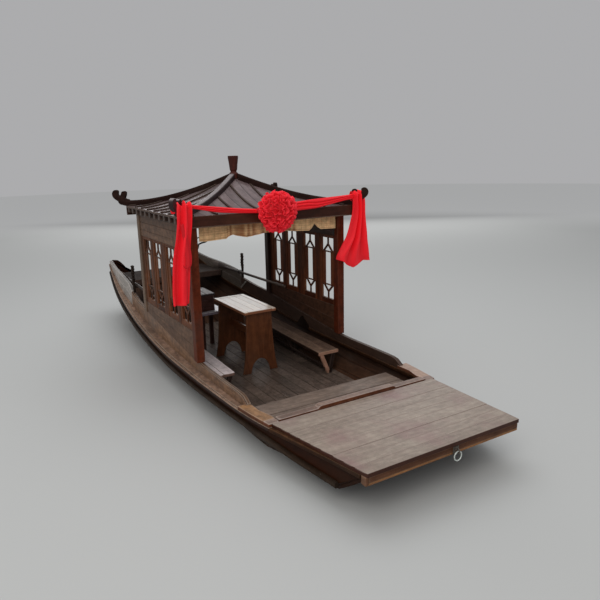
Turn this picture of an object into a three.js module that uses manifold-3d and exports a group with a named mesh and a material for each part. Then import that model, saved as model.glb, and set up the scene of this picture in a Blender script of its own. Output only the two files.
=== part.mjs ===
// A small wooden pleasure boat with a four-post pavilion cabin, in millimetres.
// +X runs to the bow, +Y to port, +Z up. The origin lies under the hull's middle, on its flat bottom.
import * as THREE from 'three';
import { mergeVertices } from 'three/addons/utils/BufferGeometryUtils.js';
import Module from 'manifold-3d';

const wasm = await Module();
wasm.setup();

// Driving dimensions.
const SEAT_GAP = 0.3;            // clearance where one piece rests on another
const PLANK = 30;                // hull planking
const LEDGE_THICK = 28;
const LEDGE_OVERHANG = 35;       // how far the ledge stands outside the hull side
const STERN_X = -3060;
const BOW_X = 3162;
const RUB_HEIGHT = 46;
const RUB_DEPTH = 30;

const DECK_THICK = 30;
const DECK_REAR_X = 2148;
const DECK_FRONT_HALF = 690;
const DECK_REAR_HALF = 806;

const POST = 80;
const POST_OUT = 843;            // outer face of the posts from the centre line
const POST_FRONT_X = 760;        // front face of the front posts
const POST_REAR_X = -874;        // rear face of the rear posts
const POST_TOP = 1857;
const COAMING_THICK = 40;
const FLOOR_Z = 207;             // top of the floor boards
const FLOOR_THICK = 24;

const SILL_Z = 868;              // top of the lower wall panels
const HEAD_Z = 1626;             // top of the window leaves
const WALL_THICK = 34;
const WALL_RECESS = 12;          // the walls' outer face lies this far inside the posts' outer face
const LEAF_THICK = 14;           // the window leaves stand in the middle of the wall

const EAVE_Z = 1955;             // roof surface along the eaves
const ROOF_RISE = 300;
const ROOF_SAG = 1.7;            // power of the hollow roof line
const ROOF_THICK = 22;
const ROOF_MID_X = -57;
const ROOF_HALF_X = 862;
const ROOF_HALF_Y = 926;
const FASCIA_THICK = 28;
const FASCIA_BOTTOM = 1851;
const BEAM_BOTTOM = 1850;
const RIDGE_HALF = 30;
const RIDGE_HEIGHT = 52;
const FINIAL_TOP = 2469;

// Hull stations from stern to bow: x, ledge half-breadth, ledge top, half-breadth and height
// of the side's knuckle, half-breadth and height of the bottom's edge.
const STATIONS = [
  [-3060, 705, 960, 682, 828, 436, 520],
  [-2700, 757, 850, 735, 722, 466, 330],
  [-2180, 818, 722, 795, 606, 502, 148],
  [-1500, 885, 640, 860, 530, 532, 34],
  [-862, 922, 572, 898, 468, 550, 0],
  [0, 940, 508, 914, 404, 560, 0],
  [748, 928, 490, 905, 388, 560, 0],
  [1322, 908, 486, 885, 390, 562, 12],
  [1782, 884, 486, 860, 394, 575, 55],
  [2148, 838, 489, 824, 384, 604, 120],
  [2472, 790, 503, 776, 364, 646, 205],
  [2880, 731, 520, 714, 352, 702, 312],
].map(([x, beam, sheer, sideHalf, sideZ, keelHalf, keelZ]) => (
  { x, beam, sheer, sideHalf, sideZ, keelHalf, keelZ }));

// The upper strake stands on the ledge: x, half-breadth of its middle, top height.
const COAMING_LINE = [
  [-1600, 768, 822], [-1250, 790, 772], [-862, 803, 745], [0, 803, 655],
  [748, 803, 580], [1322, 803, 575], [1600, 800, 575], [1690, 799, 562], [1750, 798, 521],
].map(([x, half, top]) => ({ x, half, top }));
const WASHBOARD_LINE = [
  [-3090, 668, 1008], [-2700, 702, 968], [-2180, 738, 944], [-1760, 762, 908], [-1660, 766, 878],
  [-1601, 768, 832],
].map(([x, half, top]) => ({ x, half, top }));

// Finishes: colour, roughness, metalness.
const FINISH = {
  deckWood: [0x7d6c5f, 0.6, 0],
  darkWood: [0x2c1a10, 0.45, 0],
  hullWood: [0x5a4130, 0.55, 0],
  postWood: [0x5a2a1e, 0.4, 0],
  wallWood: [0x5a4b3e, 0.6, 0],
  floorWood: [0x5f5347, 0.6, 0],
  tableWood: [0x6e3a22, 0.35, 0],
  benchWood: [0x74604f, 0.5, 0],
  roofWood: [0x4a4039, 0.55, 0],
  finialWood: [0x461916, 0.4, 0],
  bamboo: [0xa5875f, 0.7, 0],
  redCloth: [0xc81928, 0.6, 0],
  iron: [0x33302e, 0.5, 0.8],
};

// Shape helpers.

const CURVE_STEPS = 5;           // straight steps in each curved stretch of an outline

// Smooth value of one column of a table at x: a cubic through each pair of rows,
// with the slope at a row taken from its neighbours.
function fair(rows, key, x) {
  let i = 0;
  while (i < rows.length - 2 && x > rows[i + 1].x) i += 1;
  const slope = (j) => {
    const a = rows[Math.max(j - 1, 0)];
    const b = rows[Math.min(j + 1, rows.length - 1)];
    return (b[key] - a[key]) / (b.x - a.x);
  };
  const p = rows[i];
  const q = rows[i + 1];
  const h = q.x - p.x;
  const t = (x - p.x) / h;
  const t2 = t * t;
  const t3 = t2 * t;
  return (2 * t3 - 3 * t2 + 1) * p[key] + (t3 - 2 * t2 + t) * h * slope(i)
    + (3 * t2 - 2 * t3) * q[key] + (t3 - t2) * h * slope(i + 1);
}

// Straight-line value of one column between the rows that a piece is built from.
function along(rows, key, x) {
  const j = Math.min(Math.max(rows.findIndex((row) => row.x >= x), 1), rows.length - 1);
  const [p, q] = [rows[j - 1], rows[j]];
  return p[key] + ((q[key] - p[key]) * (x - p.x)) / (q.x - p.x);
}

function spread(from, to, steps) {
  return Array.from({ length: steps + 1 }, (_, i) => from + ((to - from) * i) / steps);
}

function signedVolume(points, faces) {
  return faces.reduce((sum, [a, b, c]) => {
    const [p, q, r] = [points[a], points[b], points[c]];
    return sum + p[0] * (q[1] * r[2] - q[2] * r[1])
      - p[1] * (q[0] * r[2] - q[2] * r[0]) + p[2] * (q[0] * r[1] - q[1] * r[0]);
  }, 0);
}

// A closed solid from points and triangles, turned so that its faces point out.
function closed(points, faces) {
  const turned = signedVolume(points, faces) < 0 ? faces.map(([a, b, c]) => [a, c, b]) : faces;
  const geometry = new THREE.BufferGeometry();
  geometry.setAttribute('position', new THREE.Float32BufferAttribute(points.flat(), 3));
  geometry.setIndex(turned.flat());
  return geometry;
}

// Joins equal rings of points into one closed solid with flat ends.
function loft(rings) {
  const n = rings[0].length;
  const points = rings.flat();
  const faces = [];
  for (let i = 0; i < rings.length - 1; i += 1) {
    for (let j = 0; j < n; j += 1) {
      const a = i * n + j;
      const b = i * n + ((j + 1) % n);
      faces.push([a, b, b + n], [a, b + n, a + n]);
    }
  }
  const cap = (ring, start, flip) => {
    const [o, u] = [new THREE.Vector3(...ring[0]), new THREE.Vector3()];
    const normal = new THREE.Vector3();
    ring.forEach((p, j) => {
      const q = ring[(j + 1) % n];
      normal.x += (p[1] - q[1]) * (p[2] + q[2]);
      normal.y += (p[2] - q[2]) * (p[0] + q[0]);
      normal.z += (p[0] - q[0]) * (p[1] + q[1]);
    });
    normal.normalize();
    u.set(...ring[1]).sub(o).normalize();
    const v = normal.clone().cross(u);
    const flat = ring.map((p) => {
      const d = new THREE.Vector3(...p).sub(o);
      return new THREE.Vector2(d.dot(u), d.dot(v));
    });
    THREE.ShapeUtils.triangulateShape(flat, []).forEach(([a, b, c]) => {
      faces.push(flip ? [start + a, start + b, start + c] : [start + a, start + c, start + b]);
    });
  };
  cap(rings[0], 0, false);
  cap(rings[rings.length - 1], (rings.length - 1) * n, true);
  return closed(points, faces);
}

function box(x0, x1, y0, y1, z0, z1) {
  const geometry = new THREE.BoxGeometry(x1 - x0, Math.abs(y1 - y0), z1 - z0);
  return geometry.translate((x0 + x1) / 2, (y0 + y1) / 2, (z0 + z1) / 2);
}

// A flat plate of a shape: the outline runs anticlockwise and its holes clockwise.
function plate(shape, depth) {
  const wind = (points, clockwise) => (
    THREE.ShapeUtils.isClockWise(points) === clockwise ? points : points.reverse());
  const wound = new THREE.Shape(wind(shape.getPoints(CURVE_STEPS), false));
  wound.holes = shape.holes.map((hole) => new THREE.Path(wind(hole.getPoints(CURVE_STEPS), true)));
  return new THREE.ExtrudeGeometry(wound, { depth, bevelEnabled: false });
}

// A plate cut from an outline in the X-Z plane, from y0 to y1.
function platePort(shape, y0, y1) {
  return plate(shape, Math.abs(y1 - y0)).rotateX(Math.PI / 2).translate(0, Math.max(y0, y1), 0);
}

// A plate cut from an outline in the Y-Z plane, from x0 to x1.
function plateAcross(shape, x0, x1) {
  const turn = new THREE.Matrix4().makeBasis(
    new THREE.Vector3(0, 1, 0), new THREE.Vector3(0, 0, 1), new THREE.Vector3(1, 0, 0));
  return plate(shape, x1 - x0).applyMatrix4(turn).translate(x0, 0, 0);
}

function outline(points) {
  return new THREE.Shape(points.map(([a, b]) => new THREE.Vector2(a, b)));
}

function solid(geometry) {
  const bare = geometry.clone();
  bare.deleteAttribute('normal');
  bare.deleteAttribute('uv');
  const merged = mergeVertices(bare, 1e-3);
  return new wasm.Manifold(new wasm.Mesh({
    numProp: 3,
    vertProperties: new Float32Array(merged.attributes.position.array),
    triVerts: new Uint32Array(merged.index.array),
  }));
}

function surface(manifold) {
  const mesh = manifold.getMesh();
  const geometry = new THREE.BufferGeometry();
  geometry.setAttribute('position', new THREE.Float32BufferAttribute(mesh.vertProperties, 3));
  geometry.setIndex(Array.from(mesh.triVerts));
  return geometry;
}

function join(...pieces) {
  return surface(pieces.map(solid).reduce((whole, piece) => whole.add(piece)));
}

function cut(geometry, ...tools) {
  return surface(tools.map(solid).reduce((whole, tool) => whole.subtract(tool), solid(geometry)));
}

// A round bar between two points.
function bar(from, to, radius, sides = 10, radiusTo = radius) {
  const a = new THREE.Vector3(...from);
  const b = new THREE.Vector3(...to);
  const length = a.distanceTo(b);
  const geometry = new THREE.CylinderGeometry(radiusTo, radius, length, sides);
  const turn = new THREE.Quaternion().setFromUnitVectors(
    new THREE.Vector3(0, 1, 0), b.clone().sub(a).normalize());
  return geometry.applyQuaternion(turn).translate(
    (a.x + b.x) / 2, (a.y + b.y) / 2, (a.z + b.z) / 2);
}

// Hull.

function hullAt(x) {
  const keys = ['beam', 'sheer', 'sideHalf', 'sideZ', 'keelHalf', 'keelZ'];
  const row = Object.fromEntries(keys.map((key) => [key, fair(STATIONS, key, x)]));
  return { x, ...row, keelZ: Math.max(row.keelZ, 0) };
}
const COAMING_END = COAMING_LINE.at(-1).x;
const BOW_END = { x: 3085, beam: 706, sheer: 529, sideHalf: 680, sideZ: 497, keelHalf: 679, keelZ: 462 };
const HULL_X = [...spread(STERN_X, 2148, 18), 2472, 2880];
const hullRows = [...HULL_X.map(hullAt), BOW_END];
const coamingAt = (x) => (x < -1600
  ? fair(WASHBOARD_LINE, 'half', x) : fair(COAMING_LINE, 'half', Math.min(x, COAMING_END)));
const ledgeInner = (row) => (row.x > 1900 ? row.beam - 105 : coamingAt(row.x) - 28);

function hullSide(side, inset = PLANK, grow = 0) {
  return loft(hullRows.map((row) => {
    const top = row.sheer - LEDGE_THICK - SEAT_GAP + grow;
    const foot = row.keelZ + PLANK + SEAT_GAP - grow;
    return [
      [row.x, side * (row.beam - LEDGE_OVERHANG + grow), top],
      [row.x, side * (row.sideHalf + grow), row.sideZ],
      [row.x, side * (row.keelHalf + grow), foot],
      [row.x, side * (row.keelHalf - inset - 4), foot],
      [row.x, side * (row.sideHalf - inset), row.sideZ + 3],
      [row.x, side * (row.beam - LEDGE_OVERHANG - inset), top],
    ];
  }));
}

function hullBottom() {
  return loft([...hullRows, { ...BOW_END, x: 3099.7, keelHalf: 678, keelZ: 470.4 }].map((row) => [
    [row.x, -row.keelHalf, row.keelZ], [row.x, row.keelHalf, row.keelZ],
    [row.x, row.keelHalf, row.keelZ + PLANK], [row.x, -row.keelHalf, row.keelZ + PLANK],
  ]));
}

function gunwaleLedge(side) {
  return loft([...hullRows, { ...BOW_END, x: 3099 }].map((row) => [
    [row.x, side * row.beam, row.sheer], [row.x, side * row.beam, row.sheer - LEDGE_THICK],
    [row.x, side * ledgeInner(row), row.sheer - LEDGE_THICK], [row.x, side * ledgeInner(row), row.sheer],
  ]));
}

function rubStrip(side) {
  return loft(hullRows.filter((row) => row.x <= 2880).map((row) => {
    const y0 = row.sideHalf + SEAT_GAP;
    return [[y0, -1], [y0 + RUB_DEPTH, -0.7], [y0 + RUB_DEPTH, 0.7], [y0, 1]]
      .map(([y, z]) => [row.x, side * y, row.sideZ + (z * RUB_HEIGHT) / 2]);
  }));
}

const hullXs = (from, to) => [from, ...HULL_X.filter((x) => x > from + 1 && x < to - 1), to];
const boardRows = (line, xs) => xs.map((x) => {
  const top = fair(line, 'top', x);
  const foot = Math.min(along(hullRows, 'sheer', x) + SEAT_GAP, top - 6);
  return { x, half: fair(line, 'half', x), top, foot };
});
const coamingRows = boardRows(COAMING_LINE, hullXs(-1600, COAMING_END));
const washboardRows = boardRows(WASHBOARD_LINE, [...hullXs(-3059, -1601), -1660].sort((a, b) => a - b));
const coamingTop = (x) => along(coamingRows, 'top', x) + SEAT_GAP;

// A board that stands on the ledge and follows a plan line and a top line.
function standingBoard(side, rows) {
  return loft(rows.map(({ x, half, top, foot }) => {
    const y0 = side * (half - COAMING_THICK / 2);
    const y1 = side * (half + COAMING_THICK / 2);
    return [[x, y0, foot], [x, y1, foot], [x, y1, top], [x, y0, top]];
  }));
}

// A cap board carries on from the coaming's front end to the foredeck, level with the deck.
const CAP = { x0: 1715, inner: 774, top: 517, lap: 4 };
function coaming(side) {
  const cap = loft(hullXs(CAP.x0, DECK_REAR_X - SEAT_GAP).map((x) => {
    const [y0, y1] = [side * CAP.inner, side * (along(hullRows, 'beam', x) - CAP.lap)];
    const foot = along(hullRows, 'sheer', x) + SEAT_GAP;
    return [[x, y0, foot], [x, y1, foot], [x, y1, CAP.top], [x, y0, CAP.top]];
  }));
  return join(standingBoard(side, coamingRows), cap);
}

// The transom's top, from the middle to the corner: it is low between two tall cheeks.
const TRANSOM_THICK = 36;
const TRANSOM_TOP = [
  [0, 788], [330, 790], [400, 808], [440, 850], [485, 915], [530, 968], [575, 1004], [648, 1008],
].map(([y, z]) => ({ y, z }));
function sternTransom() {
  const rear = hullRows[0];
  const half = [[rear.keelHalf + 2, rear.keelZ], [rear.sideHalf, rear.sideZ],
    ...TRANSOM_TOP.map(({ y, z }) => [y, z]).reverse()];
  const mirrored = half.slice(0, -1).map(([y, z]) => [-y, z]).reverse();
  return plateAcross(outline([...half, ...mirrored]), STERN_X - TRANSOM_THICK, STERN_X - SEAT_GAP);
}

const BOW_BEAM = { x0: 3100, x1: 3150, half: 696, foot: 466, top: 529.4 };
const decks = {
  foredeck() {
    const rows = hullRows.filter((row) => row.x >= DECK_REAR_X - 1);
    const rings = [...rows, { x: BOW_X, sheer: BOW_BEAM.top + 2 }].map((row) => {
      const t = (row.x - DECK_REAR_X) / (BOW_X - DECK_REAR_X);
      const half = DECK_REAR_HALF + (DECK_FRONT_HALF - DECK_REAR_HALF) * t;
      const low = row.sheer + SEAT_GAP;
      return [[row.x, -half, low], [row.x, half, low], [row.x, half, low + DECK_THICK],
        [row.x, -half, low + DECK_THICK]];
    });
    return loft(rings);
  },
  bowBeam: () => box(BOW_BEAM.x0, BOW_BEAM.x1, -BOW_BEAM.half, BOW_BEAM.half, BOW_BEAM.foot, BOW_BEAM.top),
};

// The inside of the hull, as a tool that trims decks and floors to the planking.
const hullTools = [1, -1].map((side) => {
  const clear = PLANK + SEAT_GAP;
  return loft(hullRows.map((row) => {
    const top = row.sheer - LEDGE_THICK - SEAT_GAP;
    const foot = row.keelZ + PLANK + SEAT_GAP;
    return [
      [row.x, side * 1400, top + 400], [row.x, side * 1400, foot - 100],
      [row.x, side * (row.keelHalf - clear - 4), foot - 100],
      [row.x, side * (row.keelHalf - clear - 4), foot],
      [row.x, side * (row.sideHalf - clear), row.sideZ + 3],
      [row.x, side * (row.beam - LEDGE_OVERHANG - clear), top],
      [row.x, side * (ledgeInner(row) - SEAT_GAP), top - SEAT_GAP],
      [row.x, side * (ledgeInner(row) - SEAT_GAP), top + 400],
    ];
  }));
});
const insideHull = (geometry) => cut(geometry, ...hullTools);

const CUT_HALF = 760;            // wider than the hull's inside, which trims these pieces
const FLOOR = { x0: -1700, x1: 2106 };
const TIMBERS = { xs: [-1500, -700, 100, 900, 1700], half: 35, reach: 480 };
function floorBoards() {
  const boards = box(FLOOR.x0, FLOOR.x1, -CUT_HALF, CUT_HALF, FLOOR_Z - FLOOR_THICK, FLOOR_Z);
  const timbers = TIMBERS.xs.map((x) => {
    const ends = [x - TIMBERS.half, x + TIMBERS.half];
    const foot = Math.max(...ends.map((end) => along(hullRows, 'keelZ', end))) + PLANK + SEAT_GAP;
    return box(...ends, -TIMBERS.reach, TIMBERS.reach, foot, FLOOR_Z - FLOOR_THICK + 1);
  });
  return insideHull(join(boards, ...timbers));
}

// The stern deck stops short of the transom; a deep lip hangs from its front edge.
const STERN_DECK = { rear: -2850, front: -2185, top: 845, thick: 27, lip: 40, lipFoot: 762 };
function sternDeck() {
  const { rear, front, top, thick, lip, lipFoot } = STERN_DECK;
  const shape = outline([[rear, top - thick], [rear, top], [front, top], [front, lipFoot],
    [front - lip, lipFoot], [front - lip, top - thick]]);
  return insideHull(platePort(shape, -CUT_HALF, CUT_HALF));
}

// A beam across the hull behind the foredeck, with a raised lip on its middle, and a step below it.
const THRESHOLD = { x0: 2070, x1: 2140, foot: 430, top: 517 };
const LIP = { inset: 12, lap: 7, y0: -380, y1: 395, high: 28 };
const STEP = { x0: 1640, foot: 412, top: 438 };
function thresholdBeam() {
  const { x0, x1, foot, top } = THRESHOLD;
  const beam = box(x0, x1, -CUT_HALF, CUT_HALF, foot, top);
  const lip = box(x0 + LIP.inset, x1 - LIP.lap, LIP.y0, LIP.y1, top - LIP.lap, top + LIP.high);
  return insideHull(join(beam, lip));
}

function stepPlank() {
  return insideHull(box(STEP.x0, THRESHOLD.x0 - SEAT_GAP, -CUT_HALF, CUT_HALF, STEP.foot, STEP.top));
}

// Cabin.

function post(x0, side) {
  const [y0, y1] = [side * (POST_OUT - POST), side * POST_OUT];
  return loft(hullXs(x0, x0 + POST).map((x) => {
    const z = coamingTop(x);
    return [[x, y0, z], [x, y1, z], [x, y1, POST_TOP], [x, y0, POST_TOP]];
  }));
}

const WALL_X0 = POST_REAR_X + POST + SEAT_GAP;
const WALL_X1 = POST_FRONT_X - POST - SEAT_GAP;
const WALL_Y1 = POST_OUT - WALL_RECESS;
const WALL_Y0 = WALL_Y1 - WALL_THICK;

function lowerPanel(side) {
  const xs = hullXs(WALL_X0, WALL_X1);
  const foot = xs.map((x) => [x, coamingTop(x)]);
  return platePort(outline([...foot, [WALL_X1, SILL_Z], [WALL_X0, SILL_Z]]), side * WALL_Y0, side * WALL_Y1);
}

// A wall has four window leaves, two on each side of a wider middle stile. Each leaf's opening has
// a fork at its head and one upside down at its foot, and a slot between two strips in the middle.
const LEAF_MIDS = [-600, -258, 143, 508];
const LEAF_Y0 = WALL_Y0 + (WALL_THICK - LEAF_THICK) / 2;
const LEAF = {
  half: 114, slotHalf: 50, foot: 928, head: 1595, slotFoot: 1086, rail: 14, stem: 8,
  fork: 62,                      // from the foot or head to where the fork's arms meet the stem
  crotch: 28,                    // from there to the small opening between the arms
  crotchHalf: 60,
};

function leafHoles(mid) {
  const { half, slotHalf, foot, head, slotFoot, rail, stem, fork, crotch, crotchHalf } = LEAF;
  const path = (points, flip) => outline(points.map(([a, z]) => [mid + a, flip ? head + foot - z : z]));
  const slotHead = head + foot - slotFoot;
  const slot = path([[-slotHalf, slotFoot], [slotHalf, slotFoot], [slotHalf, slotHead],
    [-slotHalf, slotHead]]);
  const high = slotFoot - rail;
  const forks = [false, true].flatMap((flip) => [
    ...[1, -1].map((s) => path([[s * stem, foot], [s * half, foot], [s * half, high],
      [s * (half - 12), high], [s * stem, foot + fork]], flip)),
    path([[-crotchHalf, high], [0, foot + fork + crotch], [crotchHalf, high]], flip),
  ]);
  return [slot, ...forks];
}

function windowLeaves(side) {
  const [y0, y1] = [side * LEAF_Y0, side * (LEAF_Y0 + LEAF_THICK)];
  const panel = box(WALL_X0, WALL_X1, y0, y1, SILL_Z + SEAT_GAP, HEAD_Z);
  const tools = LEAF_MIDS.flatMap(leafHoles).map((hole) => (
    platePort(hole, y0 - side * LEAF_THICK, y1 + side * LEAF_THICK)));
  return cut(panel, ...tools);
}

function friezePanel(side) {
  return box(WALL_X0, WALL_X1, side * WALL_Y0, side * WALL_Y1, HEAD_Z + SEAT_GAP, POST_TOP);
}

const RAFTERS = { count: 12, half: 24, fromEnd: 30, fromEave: 8, foot: 1880 };
function eaveBeam(side) {
  const top = EAVE_Z - ROOF_THICK - SEAT_GAP;
  const reach = ROOF_HALF_X - 12;
  const plank = box(ROOF_MID_X - reach, ROOF_MID_X + reach, side * (POST_OUT - POST), side * POST_OUT,
    POST_TOP + SEAT_GAP, top);
  const { count, half, fromEnd, fromEave, foot } = RAFTERS;
  const last = ROOF_HALF_X - fromEnd;
  const tails = spread(ROOF_MID_X - last, ROOF_MID_X + last, count - 1).map((x) => (
    box(x - half, x + half, side * (POST_OUT - 20), side * (ROOF_HALF_Y - fromEave), foot, top)));
  return join(plank, ...tails);
}

// A scrolled bracket under the beam, beside each post: distance from the post, height.
const BRACKET = {
  x0: 14, x1: 30,
  edge: [[0, 1640], [16, 1650], [30, 1690], [90, 1705], [150, 1742], [215, 1752], [255, 1775], [262, 1800],
    [240, 1851]],
  holes: [[[22, 1834], [23, 1712], [84, 1724], [85, 1836]],
    [[100, 1833], [101, 1730], [150, 1760], [214, 1768], [212, 1835]]],
};
function crossBeam(x0, brackets) {
  const inner = POST_OUT - POST - SEAT_GAP;
  const beam = box(x0, x0 + POST, -inner, inner, BEAM_BOTTOM, EAVE_Z - ROOF_THICK - SEAT_GAP);
  if (!brackets) return beam;
  const arms = [1, -1].map((side) => {
    const turned = (points) => outline(points.map(([off, z]) => [side * (inner - off), z]));
    const arm = turned([[0, BEAM_BOTTOM + 1], ...BRACKET.edge]);
    arm.holes = BRACKET.holes.map(turned);
    return plateAcross(arm, x0 + BRACKET.x0, x0 + BRACKET.x1);
  });
  return join(beam, ...arms);
}

function fascia(front) {
  const x0 = front ? ROOF_MID_X + ROOF_HALF_X + SEAT_GAP : ROOF_MID_X - ROOF_HALF_X - SEAT_GAP - FASCIA_THICK;
  return box(x0, x0 + FASCIA_THICK, -ROOF_HALF_Y, ROOF_HALF_Y, FASCIA_BOTTOM, EAVE_Z);
}

// Roof. The surface height depends only on s, which runs from 0 at the eave to 1 at the top.
const roofTop = (s) => EAVE_Z + ROOF_RISE * Math.max(s, 0) ** ROOF_SAG;
const ROOF_S = [0, 0.14, 0.28, 0.42, 0.56, 0.7, 0.84, 0.96];
const HIP_GAP = 1.5;
const BATTENS = 8;
const BATTEN_HALF = 10;
const BATTEN_HIGH = 14;

// A point of one roof plane: s up the slope, w across it from -1 to 1 between the hips.
function roofPoint(plane, s, across, z) {
  const run = 1 - s;
  if (plane.along === 'x') return [ROOF_MID_X + plane.sign * ROOF_HALF_X * run, across, z];
  return [ROOF_MID_X + across, plane.sign * ROOF_HALF_Y * run, z];
}

const ROOF_PLANES = [
  { name: 'front', along: 'x', sign: 1, half: ROOF_HALF_Y },
  { name: 'rear', along: 'x', sign: -1, half: ROOF_HALF_Y },
  { name: 'port', along: 'y', sign: 1, half: ROOF_HALF_X },
  { name: 'starboard', along: 'y', sign: -1, half: ROOF_HALF_X },
];

function roofPanel(plane) {
  const sheet = loft(ROOF_S.map((s) => {
    const edge = plane.half * (1 - s) - HIP_GAP;
    const z = roofTop(s);
    return [roofPoint(plane, s, -edge, z), roofPoint(plane, s, edge, z),
      roofPoint(plane, s, edge, z - ROOF_THICK), roofPoint(plane, s, -edge, z - ROOF_THICK)];
  }));
  const battens = Array.from({ length: BATTENS }, (_, i) => {
    const across = plane.half * (-1 + (2 * (i + 0.5)) / BATTENS);
    const last = 1 - (Math.abs(across) + RIDGE_HALF * Math.SQRT2 + BATTEN_HALF + 6) / plane.half;
    const steps = [...ROOF_S.filter((s) => s < last - 0.03), last];
    return loft(steps.map((s) => [
      roofPoint(plane, s, across - BATTEN_HALF, roofTop(s) - 4),
      roofPoint(plane, s, across + BATTEN_HALF, roofTop(s) - 4),
      roofPoint(plane, s, across + BATTEN_HALF, roofTop(s) + BATTEN_HIGH),
      roofPoint(plane, s, across - BATTEN_HALF, roofTop(s) + BATTEN_HIGH),
    ]));
  });
  return join(sheet, ...battens);
}

// A hip ridge runs down from the top to its corner. On its end stands a board cut as a cloud: its
// outline, in the ridge's own upright plane, as distance past the corner and height.
const RIDGE_CLOUD = [
  [-60, 1968], [34, 1962], [64, 1968], [84, 1984], [92, 2004], [110, 2014], [132, 2030], [152, 2054],
  [158, 2086], [144, 2118], [112, 2130], [84, 2116], [88, 2082], [72, 2060], [48, 2084], [40, 2106],
  [14, 2116], [-10, 2104], [-8, 2070], [4, 2036], [-60, 2022],
];
const CLOUD_HALF = 21;
const RIDGE_TOP_S = 0.9609;      // just clear of the finial's collar
const RIDGE_END_S = -0.024;      // a little past the corner

// The space under the roof surface, which trims the underside of the ridges.
const FASCIA_OUT = ROOF_HALF_X + FASCIA_THICK + 2 * SEAT_GAP;
const roofSpace = join(
  loft([[0, EAVE_Z - 60], ...ROOF_S.map((s) => [s, roofTop(s) + SEAT_GAP])].map(([s, z]) => {
    const [hx, hy] = [(ROOF_HALF_X + SEAT_GAP) * (1 - s), (ROOF_HALF_Y + SEAT_GAP) * (1 - s)];
    return [[-hx, -hy], [hx, -hy], [hx, hy], [-hx, hy]].map(([x, y]) => [ROOF_MID_X + x, y, z]);
  })),
  box(ROOF_MID_X - FASCIA_OUT, ROOF_MID_X + FASCIA_OUT, -ROOF_HALF_Y, ROOF_HALF_Y,
    EAVE_Z - 60, EAVE_Z + SEAT_GAP),
);

function hipRidge(signX, signY) {
  const run = new THREE.Vector2(signX * ROOF_HALF_X, signY * ROOF_HALF_Y);
  const out = run.clone().normalize();
  const at = (s, w, z) => [ROOF_MID_X + run.x * (1 - s) - out.y * w, run.y * (1 - s) + out.x * w, z];
  const ring = (s, low, drop, tall, half) => [
    at(s, -half, low - drop), at(s, 0, low), at(s, half, low - drop), at(s, half, low + tall - 6),
    at(s, half * 0.5, low + tall), at(s, -half * 0.5, low + tall), at(s, -half, low + tall - 6)];
  const body = [RIDGE_TOP_S, 0.84, 0.7, 0.56, 0.42, 0.28, 0.14].map((s) => (
    ring(s, roofTop(s) - 3, 14, RIDGE_HEIGHT + 3, RIDGE_HALF)));
  body.push(ring(0, EAVE_Z + 1, 0, RIDGE_HEIGHT + 8, RIDGE_HALF));
  body.push(ring(RIDGE_END_S, EAVE_Z + 8, 0, RIDGE_HEIGHT + 8, RIDGE_HALF - 3));
  const past = (distance) => -distance / run.length();
  const cloud = plateAcross(outline(RIDGE_CLOUD), -CLOUD_HALF, CLOUD_HALF);
  const corner = cloud.attributes.position;
  for (let i = 0; i < corner.count; i += 1) {
    corner.setXYZ(i, ...at(past(corner.getY(i)), -corner.getX(i), corner.getZ(i)));
  }
  return cut(join(loft(body), cloud), roofSpace);
}

// The finial is a cup on a low collar that the ridges run up to: radius, height.
const FINIAL = [
  [48, 2292], [34, 2300], [31, 2309], [38, 2322], [40, 2350], [45, 2400], [51, 2445], [54, FINIAL_TOP],
];
function finial() {
  const base = roofTop(ROOF_S.at(-1)) + SEAT_GAP;
  const profile = [[0, base], [FINIAL[0][0], base], ...FINIAL, [0, FINIAL_TOP]];
  const points = profile.map(([r, z]) => new THREE.Vector2(r, z));
  return new THREE.LatheGeometry(points, 16).rotateX(Math.PI / 2).translate(ROOF_MID_X, 0, 0);
}

// Furniture.

const TABLE = { x0: -352, x1: 440, half: 186, top: 896, thick: 30 };
const TABLE_END = {
  thick: 26, fromRear: 20, fromFront: 60, foot: 206, waist: 152, waistZ: 420, head: 147,
  archHalf: 116, archTop: 362, archBend: 96,
};
const TABLE_RAIL = { x0: 40, x1: 45, half: 12, z0: 560, z1: 640 };   // x from the top board's ends
function table() {
  const { x0, x1, half, top, thick } = TABLE;
  const end = TABLE_END;
  const board = box(x0, x1, -half, half, top - thick, top);
  const panel = (x) => {
    const shape = new THREE.Shape();
    const [foot, head] = [FLOOR_Z + SEAT_GAP, top - thick + 1];
    shape.moveTo(-end.foot, foot);
    shape.lineTo(-end.archHalf, foot);
    shape.quadraticCurveTo(-end.archBend, end.archTop - 16, 0, end.archTop);
    shape.quadraticCurveTo(end.archBend, end.archTop - 16, end.archHalf, foot);
    shape.lineTo(end.foot, foot);
    shape.quadraticCurveTo(end.waist, end.waistZ, end.head, head);
    shape.lineTo(-end.head, head);
    shape.quadraticCurveTo(-end.waist, end.waistZ, -end.foot, foot);
    return plateAcross(shape, x, x + end.thick);
  };
  const rail = box(x0 + TABLE_RAIL.x0, x1 - TABLE_RAIL.x1, -TABLE_RAIL.half, TABLE_RAIL.half,
    TABLE_RAIL.z0, TABLE_RAIL.z1);
  return join(board, panel(x0 + end.fromRear), panel(x1 - end.fromFront), rail);
}

// A bench's seat, in plan: x, its two edges from the centre line. Three pairs of legs carry it, the
// inner ones splayed towards the hull, with a rail along them.
const BENCH_TOP = 452;
const BENCH_THICK = 34;
const BENCH_PLAN = {
  port: [[-780, 520, 742], [850, 455, 702]],
  starboard: [[-780, 462, 742], [850, 508, 735]],
};
const BENCH_LEGS = [-690, 60, 832];
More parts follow.
